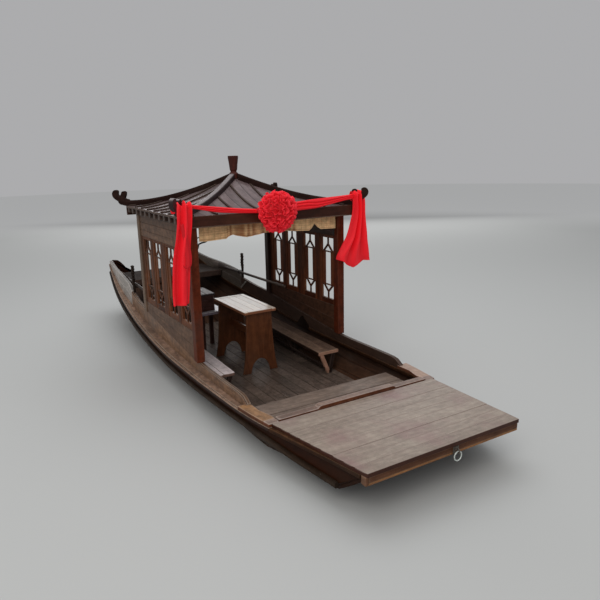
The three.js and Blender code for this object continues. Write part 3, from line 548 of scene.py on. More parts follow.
    def build(self, name: str, finish: "Finish", body: str = "boat", replaces: tuple[str, ...] = (),
              slot: str | None = None, crease: float = 32) -> bpy.types.Object:
        """Makes the mesh and dresses it.

        Args:
            name: the piece's name.
            finish: what it is made of.
            body: the body that it rides on.
            replaces: the CAD nodes that it stands for.
            slot: not used.
            crease: the angle in degrees past which an edge stays sharp.

        Returns:
            The piece.
        """
        mesh = bpy.data.meshes.new(name)
        points = np.concatenate(self.points) * MM
        mesh.from_pydata(points, [], [f for part in self.faces for f in part])
        mesh.uv_layers.new(name="grain").data.foreach_set("uv", np.concatenate(self.maps).astype(np.float32).ravel())
        mesh.validate()
        normals = np.empty(len(mesh.vertices) * 3, np.float32)
        mesh.vertex_normals.foreach_get("vector", normals)
        up, out = normals[2::3], normals[1::3] * np.sign(points[:, 1])
        for label, values in zip(POINT_VALUES, (np.concatenate(self.tones), np.concatenate(self.edges), up, out)):
            mesh.attributes.new(label, "FLOAT", "POINT").data.foreach_set("value", values.astype(np.float32))
        mesh.shade_smooth()
        mesh.set_sharp_from_angle(angle=math.radians(crease))
        mesh.materials.append(finish.material())
        obj = bpy.data.objects.new(name, mesh)
        bpy.context.scene.collection.objects.link(obj)
        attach(obj, body)
        if replaces:
            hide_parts(*replaces)
        log.info("%s: %d faces", name, len(mesh.polygons))
        return obj


# ---- finishes ----


@dataclass
class Tree:
    """Adds nodes to a node tree. An input given as a socket is joined, and any other is set."""

    tree: bpy.types.NodeTree

    def add(self, kind: str, inputs: dict[str | int, object] | None = None, **settings: object) -> bpy.types.Node:
        """Adds one node.

        Args:
            kind: the node's type after "ShaderNode".
            inputs: its inputs by name or number.
            settings: its own properties.

        Returns:
            The node.
        """
        node = self.tree.nodes.new(kind if kind.startswith("Node") else "ShaderNode" + kind)
        for key, value in settings.items():
            setattr(node, key, value)
        for key, value in (inputs or {}).items():
            if isinstance(value, bpy.types.NodeSocket):
                self.tree.links.new(value, node.inputs[key])
            else:
                node.inputs[key].default_value = value
        return node

    def maths(self, operation: str, *values: object, clamp: bool = False) -> bpy.types.NodeSocket:
        """A Math node's result."""
        return self.add("Math", dict(enumerate(values)), operation=operation, use_clamp=clamp).outputs[0]

    def mix(self, factor: object, a: object, b: object, how: str = "MIX") -> bpy.types.NodeSocket:
        """A colour between a and b, or b laid over a in another way."""
        return self.add("Mix", {0: factor, 6: a, 7: b}, data_type="RGBA", blend_type=how).outputs[2]

    def ramp(self, value: object, low: float, high: float,
             to: tuple[float, float] = (0.0, 1.0)) -> bpy.types.NodeSocket:
        """A smooth step of a value from low to high."""
        node = self.add("MapRange", {0: value, 1: low, 2: high, 3: to[0], 4: to[1]}, interpolation_type="SMOOTHSTEP")
        return node.outputs[0]

    def scaled(self, vector: object, by: tuple[float, float, float]) -> bpy.types.NodeSocket:
        """A place times a scale in each direction."""
        return self.add("VectorMath", {0: vector, 1: by}, operation="MULTIPLY").outputs[0]

    def noise(self, vector: object, scale: float, detail: float = 3, rough: float = 0.55) -> bpy.types.NodeSocket:
        """Soft noise from 0 to 1."""
        return self.add("TexNoise", {"Vector": vector, "Scale": scale, "Detail": detail, "Roughness": rough}).outputs[0]

    def bump(self, height: object, strength: float, distance: float) -> bpy.types.NodeSocket:
        """A normal bent by a height, the distance being in metres."""
        return self.add("Bump", {"Height": height, "Strength": strength, "Distance": distance}).outputs[0]

    def give(self, output: bpy.types.Node, values: dict[str, bpy.types.NodeSocket]) -> bpy.types.NodeTree:
        """Joins values to a group's output node by name, and returns the group.

        Args:
            output: the output node.
            values: each output's name and the socket that feeds it.

        Returns:
            The node tree.
        """
        for label, value in values.items():
            self.tree.links.new(value, output.inputs[label])
        return self.tree


def new_group(
    name: str, inputs: dict[str, object], outputs: dict[str, str],
) -> tuple[Tree, bpy.types.Node, bpy.types.Node]:
    """Starts a node group.

    Args:
        name: the group's name.
        inputs: each input's name and its starting value, a number, colour or place.
        outputs: each output's name and its kind, Color or Float.

    Returns:
        The tree, its input node and its output node.
    """
    tree = bpy.data.node_groups.new(name, "ShaderNodeTree")
    for label, value in inputs.items():
        kind = "Float" if isinstance(value, (int, float)) else "Color" if len(value) == 4 else "Vector"
        socket = tree.interface.new_socket(name=label, in_out="INPUT", socket_type="NodeSocket" + kind)
        socket.default_value = value
    for label, kind in outputs.items():
        tree.interface.new_socket(name=label, in_out="OUTPUT", socket_type="NodeSocket" + kind)
    t = Tree(tree)
    return t, t.add("NodeGroupInput"), t.add("NodeGroupOutput")


def once(name: str, make: Callable[[], bpy.types.NodeTree]) -> bpy.types.NodeTree:
    """The node group of this name, made the first time that it is asked for."""
    return bpy.data.node_groups.get(name) or make()


def grain_group() -> bpy.types.NodeTree:
    """Wood grain: long rings, fine fibre and a slow change of tone, all stretched along the board.

    Returns:
        The group's node tree.
    """
    t, g, out = new_group(
        "plank_grain",
        {"Map": (0.0, 0, 0), "Tone": 0.5, "Light": (0.5, 0.4, 0.3, 1), "Dark": (0.2, 0.1, 0.05, 1),
         "Rings": 7.0, "Fibre": 0.5, "Spread": 0.5},
        {"Color": "Color", "Height": "Float", "Fibre": "Float"},
    )
    o = g.outputs
    lean = t.noise(t.scaled(o["Map"], (1.1, 7, 1)), 1, 2)
    rings = t.maths("SINE", t.maths("MULTIPLY", lean, t.maths("MULTIPLY", o["Rings"], 6.283)))
    rings = t.maths("POWER", t.maths("MULTIPLY_ADD", rings, 0.5, 0.5), 1.7)
    fibre = t.noise(t.scaled(o["Map"], (5, 210, 1)), 1, 4, 0.65)
    slow = t.noise(t.scaled(o["Map"], (1.3, 5, 1)), 1, 3)
    fine = t.maths("MULTIPLY", t.maths("SUBTRACT", fibre, 0.5), o["Fibre"])
    value = t.maths("ADD", t.maths("MULTIPLY_ADD", rings, 0.25, 0.1), t.maths("MULTIPLY_ADD", slow, 0.7, fine),
                    clamp=True)
    shift = t.maths("MULTIPLY", t.maths("SUBTRACT", o["Tone"], 0.5), o["Spread"])
    colour = t.mix(t.maths("ADD", value, shift, clamp=True), o["Dark"], o["Light"])
    height = t.maths("MULTIPLY_ADD", rings, 0.3, t.maths("MULTIPLY", fibre, 0.7))
    return t.give(out, {"Color": colour, "Height": height, "Fibre": fibre})


def wear_and_shading_group() -> bpy.types.NodeTree:
    """Wear, weather and painted shading: upright faces multiplied by a tint, painted shade below one and painted light
    above, tops not; rubbed or grimy edges, slow stains and pale specks.

    Returns:
        The group's node tree.
    """
    t, g, out = new_group(
        "wear_weather_and_painted_shading",
        {"Color": (0.5, 0.5, 0.5, 1), "Place": (0.0, 0, 0), "Edge": 0.0, "Worn": (0.5, 0.4, 0.3, 1), "Rub": 0.5,
         "Stain": (0.1, 0.08, 0.06, 1), "Stains": 0.3, "Specks": 0.1, "Mottle": 0.3, "Up": 1.0, "Out": 1.0,
         "Side": (1.0, 1, 1, 1), "Inner": (1.0, 1, 1, 1)},
        {"Color": "Color", "Rubbed": "Float", "Stained": "Float"},
    )
    o = g.outputs
    coarse, fine = t.noise(o["Place"], 7, 4), t.noise(o["Place"], 60, 3)
    edge = t.maths("MULTIPLY", o["Edge"], t.maths("MULTIPLY_ADD", fine, 0.8, t.maths("MULTIPLY", coarse, 0.9)))
    top = t.ramp(o["Up"], 0.3, 0.85)
    rub = t.maths("MULTIPLY", o["Rub"], t.maths("MULTIPLY_ADD", top, 0.65, 0.35))
    rubbed = t.maths("MULTIPLY", t.ramp(edge, 0.4, 0.9), rub, clamp=True)
    patches = t.maths("MULTIPLY", t.ramp(t.noise(o["Place"], 2.3, 5, 0.6), 0.45, 0.75), o["Stains"], clamp=True)
    specks = t.maths("MULTIPLY", t.ramp(t.noise(o["Place"], 130, 2, 0.7), 0.66, 0.75), o["Specks"], clamp=True)
    blotch = t.maths("SUBTRACT", t.noise(o["Place"], 19, 6, 0.72), 0.5)
    blotch = t.maths("MULTIPLY_ADD", t.maths("MULTIPLY", blotch, o["Mottle"]), 3.2, 1.0)
    colour = t.mix(1.0, o["Color"], t.maths("MAXIMUM", blotch, 0.2), "MULTIPLY")
    colour = t.mix(patches, colour, o["Stain"])
    colour = t.mix(rubbed, colour, o["Worn"])
    colour = t.mix(t.maths("MULTIPLY", specks, top), colour, (0.62, 0.58, 0.52, 1))
    # Painted light and shade: upright faces take the Side tint where they look outboard and the Inner tint where they
    # look inboard; tops keep their colour.
    side = t.mix(t.ramp(o["Out"], -0.75, -0.35), o["Inner"], o["Side"])
    colour = t.mix(1.0, colour, t.mix(top, side, (1, 1, 1, 1)), "MULTIPLY")
    return t.give(out, {"Color": colour, "Rubbed": rubbed, "Stained": patches})


def weave_group() -> bpy.types.NodeTree:
    """Cloth: fine crossing threads, slubs along them, and the tone given to each point, which on folds is painted
    shade.

    Returns:
        The group's node tree.
    """
    t, g, out = new_group(
        "satin_threads",
        {"Map": (0.0, 0, 0), "Tone": 0.5, "Light": (0.8, 0.05, 0.1, 1), "Dark": (0.3, 0.0, 0.02, 1)},
        {"Color": "Color", "Height": "Float", "Slub": "Float"},
    )
    o = g.outputs
    warp = t.noise(t.scaled(o["Map"], (40, 1400, 1)), 1, 1)
    weft = t.noise(t.scaled(o["Map"], (1400, 40, 1)), 1, 1)
    slub = t.noise(t.scaled(o["Map"], (4, 60, 1)), 1, 3)
    crumple = t.noise(o["Map"], 9, 4)
    value = t.maths("MULTIPLY_ADD", slub, 0.35, t.maths("MULTIPLY", o["Tone"], 0.9))
    colour = t.mix(t.maths("ADD", value, -0.1, clamp=True), o["Dark"], o["Light"])
    height = t.maths("ADD", t.maths("ADD", warp, weft), t.maths("MULTIPLY", crumple, 5))
    return t.give(out, {"Color": colour, "Height": height, "Slub": slub})


@dataclass(frozen=True)
class Finish:
    """A finish: its name, and the material that it makes once."""

    name: str
    slot: str

    def material(self) -> bpy.types.Material:
        """The finish's material, made the first time that it is asked for.

        Returns:
            The material.
        """
        found = bpy.data.materials.get(self.name)
        if found:
            return found
        material = bpy.data.materials.new(self.name)
        material.use_nodes = True
        material.node_tree.nodes.clear()
        tree = Tree(material.node_tree)
        output = tree.add("OutputMaterial")
        material.node_tree.links.new(self.shader(tree), output.inputs["Surface"])
        return material

    def shader(self, t: Tree) -> bpy.types.NodeSocket:
        """Makes the nodes and returns the shader's output."""
        raise NotImplementedError

    def sources(self, t: Tree) -> tuple[bpy.types.NodeSocket, ...]:
        """The piece's map, its object place, its tone, its edge value, and how far it faces up and outboard.

        Args:
            t: the material's nodes.

        Returns:
            Their sockets, in that order.
        """
        place = t.add("TexCoord").outputs["Object"]
        grain = t.add("UVMap", uv_map="grain").outputs[0]
        return grain, place, *(t.add("Attribute", attribute_name=name).outputs["Fac"] for name in POINT_VALUES)


@dataclass(frozen=True)
class Wood(Finish):
    """Stained or unstained wood: two grain colours, its edges' colour, its stains, and the painted light and shade on
    its upright faces.
    """

    light: Colour
    dark: Colour
    worn: Colour
    # side and inner are painted light and shade: tints that multiply upright faces looking outboard and inboard, darker
    # below one, lighter above one.
    side: Colour = (1.0, 1.0, 1.0)
    inner: Colour | None = None
    stain: Colour = (0.06, 0.045, 0.035)
    rings: float = 7
    fibre: float = 0.9
    spread: float = 0.5
    rub: float = 0.7
    stains: float = 0.35
    specks: float = 0.1
    mottle: float = 0.4
    rough: tuple[float, float] = (0.38, 0.62)
    bump: float = 0.35
    shine: float = 0.22
    coat: float = 0.0
    coat_rough: float = 0.2

    def shader(self, t: Tree) -> bpy.types.NodeSocket:
        """Grain, then wear, into one Principled shader.

        Args:
            t: the material's nodes.

        Returns:
            The shader's output.
        """
        grain, place, tone, edge, up, out = self.sources(t)
        plank = t.add("Group", {
            "Map": grain, "Tone": tone, "Light": (*self.light, 1), "Dark": (*self.dark, 1), "Rings": self.rings,
            "Fibre": self.fibre, "Spread": self.spread,
        }, node_tree=once("plank_grain", grain_group))
        wear = t.add("Group", {
            "Color": plank.outputs["Color"], "Place": place, "Edge": edge, "Up": up, "Out": out,
            "Worn": (*self.worn, 1), "Rub": self.rub, "Stain": (*self.stain, 1), "Stains": self.stains,
            "Specks": self.specks, "Mottle": self.mottle, "Side": (*self.side, 1),
            "Inner": (*(self.inner or self.side), 1),
        }, node_tree=once("wear_weather_and_painted_shading", wear_and_shading_group))
        rough = t.maths("MULTIPLY_ADD", plank.outputs["Fibre"], self.rough[1] - self.rough[0], self.rough[0])
        rough = t.maths("MULTIPLY_ADD", wear.outputs["Rubbed"], 0.2, rough, clamp=True)
        bump = t.bump(plank.outputs["Height"], self.bump, 0.0015)
        return t.add("BsdfPrincipled", {
            "Base Color": wear.outputs["Color"], "Roughness": rough, "Normal": bump,
            "Specular IOR Level": self.shine, "Coat Weight": self.coat, "Coat Roughness": self.coat_rough,
        }).outputs[0]


@dataclass(frozen=True)
class Cloth(Finish):
    """Thin satin: two colours of the thread, a sheen, and a painted glow that stands in for the light that comes
    through it.
    """

    light: Colour
    dark: Colour
    rough: float = 0.5
    sheen: float = 0.05
    # glow is painted light: the cloth emits its own colour, though it is no lamp.
    glow: float = 0.1

    def shader(self, t: Tree) -> bpy.types.NodeSocket:
        """Threads into one Principled shader.

        Args:
            t: the material's nodes.

        Returns:
            The shader's output.
        """
        grain, _, tone = self.sources(t)[:3]
        weave = t.add("Group", {"Map": grain, "Tone": tone, "Light": (*self.light, 1), "Dark": (*self.dark, 1)},
                      node_tree=once("satin_threads", weave_group))
        rough = t.maths("MULTIPLY_ADD", weave.outputs["Slub"], 0.2, self.rough)
        bump = t.bump(weave.outputs["Height"], 0.25, 0.001)
        return t.add("BsdfPrincipled", {
            "Base Color": weave.outputs["Color"], "Roughness": rough, "Normal": bump,
            "Sheen Weight": self.sheen, "Sheen Roughness": 0.4, "Specular IOR Level": 0.3,
            # Painted glow: emission in the cloth's own colour.
            "Emission Color": weave.outputs["Color"], "Emission Strength": self.glow,
        }).outputs[0]


@dataclass(frozen=True)
class Metal(Finish):
    """Dull galvanised iron with spangle and rust specks."""

    light: Colour
    dark: Colour
    rust: Colour = (0.16, 0.06, 0.02)
    metal: float = 0.8

    def shader(self, t: Tree) -> bpy.types.NodeSocket:
        """Spangle and rust into one Principled shader.

        Args:
            t: the material's nodes.

        Returns:
            The shader's output.
        """
        place = self.sources(t)[1]
        spangle = t.noise(place, 220, 3)
        rust = t.ramp(t.noise(place, 90, 5, 0.7), 0.55, 0.68)
        colour = t.mix(t.ramp(spangle, 0.35, 0.65), (*self.dark, 1), (*self.light, 1))
        colour = t.mix(rust, colour, (*self.rust, 1))
        rough = t.maths("MULTIPLY_ADD", rust, 0.35, t.maths("MULTIPLY_ADD", spangle, 0.2, 0.3))
        metal = t.maths("MULTIPLY_ADD", rust, -0.7, self.metal, clamp=True)
        bump = t.bump(spangle, 0.3, 0.0006)
        return t.add("BsdfPrincipled", {
            "Base Color": colour, "Roughness": rough, "Metallic": metal, "Normal": bump,
        }).outputs[0]


# In these finishes side and inner are painted light and shade on upright faces: below one they paint shade, above one
# they paint light.
HULL_WOOD = Wood("hull_planks", "hull_wood", (0.085, 0.042, 0.024), (0.022, 0.011, 0.007), (0.03, 0.018, 0.012),
                 side=(0.36, 0.19, 0.09), inner=(0.9, 0.7, 0.6), stains=0.6, shine=0.1)
STRAKE_WOOD = Wood("ledge_planks", "deck_wood", (0.351, 0.224, 0.156), (0.135, 0.0792, 0.0546), (0.4, 0.31, 0.24),
                   side=(0.1, 0.05, 0.035), rub=0.8, stains=0.4, mottle=0.9)
DARK_LEDGE_WOOD = Wood("ledge_planks_dark", "deck_wood", (0.09, 0.04, 0.018), (0.03, 0.013, 0.006),
                       (0.13, 0.075, 0.045), side=(0.5, 0.45, 0.4), stains=0.5, rub=0.4, mottle=0.8, shine=0.08)
RUB_WOOD = Wood("rub_strip_planks", "hull_wood", (0.027, 0.0144, 0.0075), (0.009, 0.00456, 0.0027), (0.12, 0.08, 0.055),
                rub=0.5, stains=0.4, shine=0.08)
# Coaming: on the starboard copy the upright faces are lightened as painted light; the port copy is darker all over as
# painted shade.
COAMING_WOOD = Wood("coaming_planks", "wall_wood", (0.112, 0.0566, 0.028), (0.0421, 0.0195, 0.00943), (0.3, 0.22, 0.16),
                    side=(2.8, 3.2, 3.8), inner=(0.67, 0.73, 0.9), rub=0.6, stains=0.5, mottle=0.8)
SHADED_COAMING = Wood("coaming_planks_shaded", "wall_wood", (0.07, 0.04, 0.028), (0.025, 0.014, 0.01), (0.16, 0.11, 0.09),
                    side=(0.9, 0.85, 0.8), rub=0.5, stains=0.5)
COAMINGS = {Side.STARBOARD: COAMING_WOOD, Side.PORT: SHADED_COAMING}
DECK_WOOD = Wood("deck_planks", "deck_wood", (0.361, 0.3, 0.244), (0.19, 0.145, 0.117), (0.3, 0.235, 0.2),
                 side=(0.19, 0.065, 0.035), stain=(0.24, 0.125, 0.13), stains=0.6, specks=0.6, rough=(0.35, 0.6),
                 spread=0.3, rub=0.5, mottle=0.32)
STERN_WOOD = Wood("stern_deck_planks", "deck_wood", (0.0327, 0.0239, 0.0203), (0.01, 0.00695, 0.0057),
                  (0.04, 0.03, 0.025), side=(3.0, 2.6, 2.4), stains=0.5, rough=(0.7, 0.85), shine=0.05)
CAP_WOOD = Wood("cap_boards", "wall_wood", (0.4, 0.27, 0.2), (0.2, 0.12, 0.09), (0.5, 0.38, 0.33),
                side=(0.35, 0.2, 0.13), stains=0.4)
FRESH_CAP_WOOD = Wood("cap_boards_fresh", "wall_wood", (0.37, 0.2, 0.09), (0.14, 0.07, 0.035), (0.4, 0.29, 0.22),
                      side=(0.35, 0.2, 0.13), stain=(0.2, 0.13, 0.09), stains=0.8, mottle=0.8)
CAPS = {Side.STARBOARD: FRESH_CAP_WOOD, Side.PORT: CAP_WOOD}
STEP_WOOD = Wood("step_planks", "deck_wood", (0.284, 0.213, 0.167), (0.115, 0.081, 0.0613), (0.16, 0.12, 0.1),
                 side=(0.5, 0.4, 0.35), stains=0.5, specks=0.3)
LIP_WOOD = Wood("lip_strip", "deck_wood", (0.288, 0.202, 0.16), (0.144, 0.0896, 0.0696), (0.42, 0.34, 0.3),
                side=(0.55, 0.24, 0.12), stains=0.5, mottle=0.6)
FLOOR_WOOD = Wood("floor_boards_worn", "floor_wood", (0.181, 0.131, 0.103), (0.0542, 0.0377, 0.0297),
                  (0.06, 0.045, 0.034), side=(0.5, 0.45, 0.42), specks=0.7, stains=0.6, mottle=0.9)
WALL_WOOD = Wood("wall_boards", "wall_wood", (0.184, 0.109, 0.068), (0.0648, 0.0361, 0.0221), (0.1, 0.06, 0.042),
                 side=(0.92, 0.85, 0.8), inner=(0.5, 0.36, 0.3), stain=(0.085, 0.045, 0.03), stains=0.5, rub=0.5,
                 mottle=0.9)
# Washboard: on the starboard copy the upright faces are lightened as painted light; the port copy is darker all over as
# painted shade, its upright faces lightened again.
WASHBOARD_WOOD = Wood("washboard_planks", "wall_wood", (0.216, 0.198, 0.18), (0.102, 0.09, 0.081), (0.4, 0.36, 0.33),
                      side=(2.6, 2.6, 2.6), inner=(0.62, 0.53, 0.47), stain=(0.06, 0.06, 0.05), stains=0.4)
SHADED_WASHBOARD = Wood("washboard_planks_dark", "wall_wood", (0.065, 0.055, 0.047), (0.03, 0.026, 0.022),
                      (0.1, 0.085, 0.075), side=(2.0, 2.0, 2.0), inner=(2.05, 1.9, 1.8), stain=(0.03, 0.03, 0.025),
                      stains=0.4, shine=0.1)
WASHBOARDS = {Side.STARBOARD: WASHBOARD_WOOD, Side.PORT: SHADED_WASHBOARD}
LEAF_WOOD = Wood("window_frames", "wall_wood", (0.192, 0.077, 0.0355), (0.054, 0.0188, 0.00901), (0.24, 0.16, 0.11),
                 side=(0.92, 0.8, 0.7), inner=(1.0, 0.7, 0.55), spread=0.9, shine=0.12, stains=0.5, rub=0.5)
POST_WOOD = Wood("post_stain", "post_wood", (0.15, 0.0297, 0.0114), (0.05, 0.0099, 0.0038), (0.16, 0.075, 0.045),
                 rough=(0.35, 0.55), stains=0.5, rub=0.5, shine=0.08, mottle=0.6)
GREY_POST_WOOD = Wood("rear_post_grey", "post_wood", (0.225, 0.143, 0.092), (0.075, 0.0468, 0.031), (0.2, 0.15, 0.11))
# The port rear post takes a darker copy of the rear posts' wood: painted shade.
SHADED_POST_WOOD = Wood("rear_post_shaded", "post_wood", (0.05, 0.025, 0.018), (0.014, 0.008, 0.006), (0.1, 0.06, 0.05))
REAR_POSTS = {Side.STARBOARD: GREY_POST_WOOD, Side.PORT: SHADED_POST_WOOD}
BOW_WOOD = Wood("bow_beam_stain", "hull_wood", (0.19, 0.085, 0.045), (0.05, 0.018, 0.009), (0.32, 0.22, 0.15),
                stain=(0.04, 0.015, 0.009), stains=0.7, rub=0.5, shine=0.1)
BOW_STRIP_WOOD = Wood("bow_foot_stain", "hull_wood", (0.38, 0.17, 0.06), (0.12, 0.045, 0.018), (0.4, 0.24, 0.13),
                      stain=(0.05, 0.025, 0.016), stains=0.8)
FASCIA_WOOD = Wood("eave_board_stain", "dark_wood", (0.075, 0.022, 0.012), (0.02, 0.007, 0.004), (0.13, 0.06, 0.035),
                   stain=(0.14, 0.05, 0.025), stains=0.45, rub=0.4, shine=0.15)
POLE_WOOD = Wood("rowlock_root", "dark_wood", (0.03, 0.019, 0.013), (0.01, 0.006, 0.005), (0.06, 0.045, 0.035),
                 shine=0.1)
CHEST_SIDE_WOOD = Wood("chest_stain", "dark_wood", (0.14, 0.065, 0.052), (0.04, 0.018, 0.015), (0.16, 0.09, 0.08))
DARK_WOOD = Wood("dark_stain", "dark_wood", (0.06, 0.034, 0.024), (0.016, 0.01, 0.008), (0.1, 0.065, 0.045),
                 rough=(0.4, 0.6))
RAFTER_WOOD = Wood("rafter_stain", "wall_wood", (0.096, 0.0624, 0.048), (0.036, 0.0229, 0.0182), (0.2, 0.16, 0.14))
BENCH_WOOD = Wood("bench_planks", "bench_wood", (0.239, 0.153, 0.106), (0.0798, 0.0492, 0.0359), (0.22, 0.14, 0.1),
                  side=(0.14, 0.1, 0.09), stains=0.5, mottle=0.7, shine=0.12)
# The starboard bench top takes a near-white copy of the bench wood: painted reflection of the sky.
SHEEN_BENCH_WOOD = Wood("bench_planks_sheen", "bench_wood", (0.91, 0.806, 0.806), (0.546, 0.455, 0.442), (0.7, 0.62, 0.6),
                       side=(0.3, 0.2, 0.16), stains=0.2, specks=0.4)
# Bench legs: darkened as painted shade; the lighter copy after it paints light on the port bench's front end and front
# inner leg.
SHADED_LEG_WOOD = Wood("bench_leg_shaded", "bench_wood", (0.05, 0.03, 0.024), (0.018, 0.011, 0.009), (0.16, 0.11, 0.09),
                      stains=0.4, rub=0.5, shine=0.12)
LIT_LEG_WOOD = Wood("bench_leg_lit", "bench_wood", (0.55, 0.3, 0.21), (0.28, 0.14, 0.09), (0.5, 0.3, 0.2), stains=0.4)
BENCH_TOPS = {Side.STARBOARD: SHEEN_BENCH_WOOD, Side.PORT: BENCH_WOOD}
TABLE_WOOD = Wood("table_panels", "table_wood", (0.175, 0.058, 0.022), (0.046, 0.015, 0.0065), (0.2, 0.09, 0.045),
                  rough=(0.25, 0.45), coat=0.15)
# The aft seat's near-white, bluish wood is a painted reflection of the sky.
SHEEN_SEAT_WOOD = Wood("seat_boards_sheen", "dark_wood", (0.8, 0.78, 0.84), (0.6, 0.57, 0.62), (0.8, 0.78, 0.8),
                 side=(0.5, 0.45, 0.5), coat=0.5)
CLEAT_WOOD = Wood("cleat_stain", "dark_wood", (0.013, 0.007, 0.005), (0.006, 0.003, 0.002), (0.02, 0.012, 0.009),
                  shine=0.05)
CHEST_WOOD = Wood("chest_lid_bare", "dark_wood", (0.3, 0.28, 0.28), (0.16, 0.14, 0.14), (0.3, 0.28, 0.28),
                  side=(0.2, 0.15, 0.15))
# The table top's near-white colour is a painted reflection of the sky; its coat and shine are real polish.
TABLE_TOP = Wood("table_top_polish_and_sheen", "table_wood", (0.95, 0.816, 0.657), (0.7, 0.576, 0.45), (0.7, 0.5, 0.35),
                 side=(0.35, 0.15, 0.08), rough=(0.3, 0.45), shine=0.5, coat=0.35, coat_rough=0.12, stains=0.1,
                 bump=0.08, mottle=0.15)
ROOF_WOOD = Wood("roof_boards", "roof_wood", (0.19, 0.135, 0.135), (0.08, 0.052, 0.052), (0.04, 0.03, 0.03),
                 rough=(0.25, 0.45), stains=0.35, shine=0.4, coat=0.15)
RIDGE_WOOD = Wood("ridge_caps", "dark_wood", (0.036, 0.018, 0.015), (0.011, 0.0054, 0.0043), (0.045, 0.03, 0.027),
                  rough=(0.7, 0.85), shine=0.02)
# The front starboard ridge takes a pale copy of the ridge wood: painted sheen of the sky along it.
SHEEN_RIDGE_WOOD = Wood("ridge_cap_sheen", "dark_wood", (0.28, 0.245, 0.25), (0.12, 0.1, 0.1), (0.32, 0.29, 0.29),
                       side=(0.14, 0.09, 0.09), rough=(0.3, 0.5))
FINIAL_WOOD = Wood("finial_stain", "finial_wood", (0.0992, 0.02, 0.0117), (0.0347, 0.008, 0.0054), (0.13, 0.06, 0.045))
OAR_WOOD = Wood("oar_poles", "bench_wood", (0.11, 0.075, 0.055), (0.035, 0.023, 0.018), (0.3, 0.24, 0.2), spread=1.2,
                stains=0.3)
BAMBOO = Wood("bamboo_slats", "bamboo", (1, 0.715, 0.39), (0.39, 0.169, 0.0715), (0.6, 0.42, 0.26), rings=1, fibre=1.0,
              spread=1.0, stain=(0.12, 0.06, 0.03), stains=0.45, rough=(0.35, 0.6))
ROPE = Wood("rope_fibre", "dark_wood", (0.06, 0.045, 0.035), (0.025, 0.02, 0.016), (0.3, 0.26, 0.2), rings=1, fibre=1.5)
PALE_ROPE = Wood("rope_fibre_new", "dark_wood", (0.5, 0.47, 0.42), (0.3, 0.27, 0.24), (0.5, 0.46, 0.42), rings=1,
                 fibre=1.5)
# The flower's satin: its light colour is pinker than the sash's, painted highlight on the petals' tips.
FLOWER_SATIN = Cloth("red_satin_loops", "red_cloth", (1.0, 0.03, 0.05), (0.5, 0.004, 0.01))
RED_SATIN = Cloth("red_satin", "red_cloth", (1.0, 0.015, 0.027), (0.5, 0.004, 0.01))
ZINC = Metal("galvanised_iron", "iron", (0.8, 0.84, 0.8), (0.45, 0.5, 0.47), metal=0.4)
DULL_ZINC = Metal("galvanised_iron_dull", "iron", (0.14, 0.12, 0.1), (0.06, 0.05, 0.04), metal=0.3)
BLACK_IRON = Metal("black_iron", "dark_wood", (0.03, 0.027, 0.025), (0.012, 0.01, 0.01), metal=0.2)


# ---- hull ----


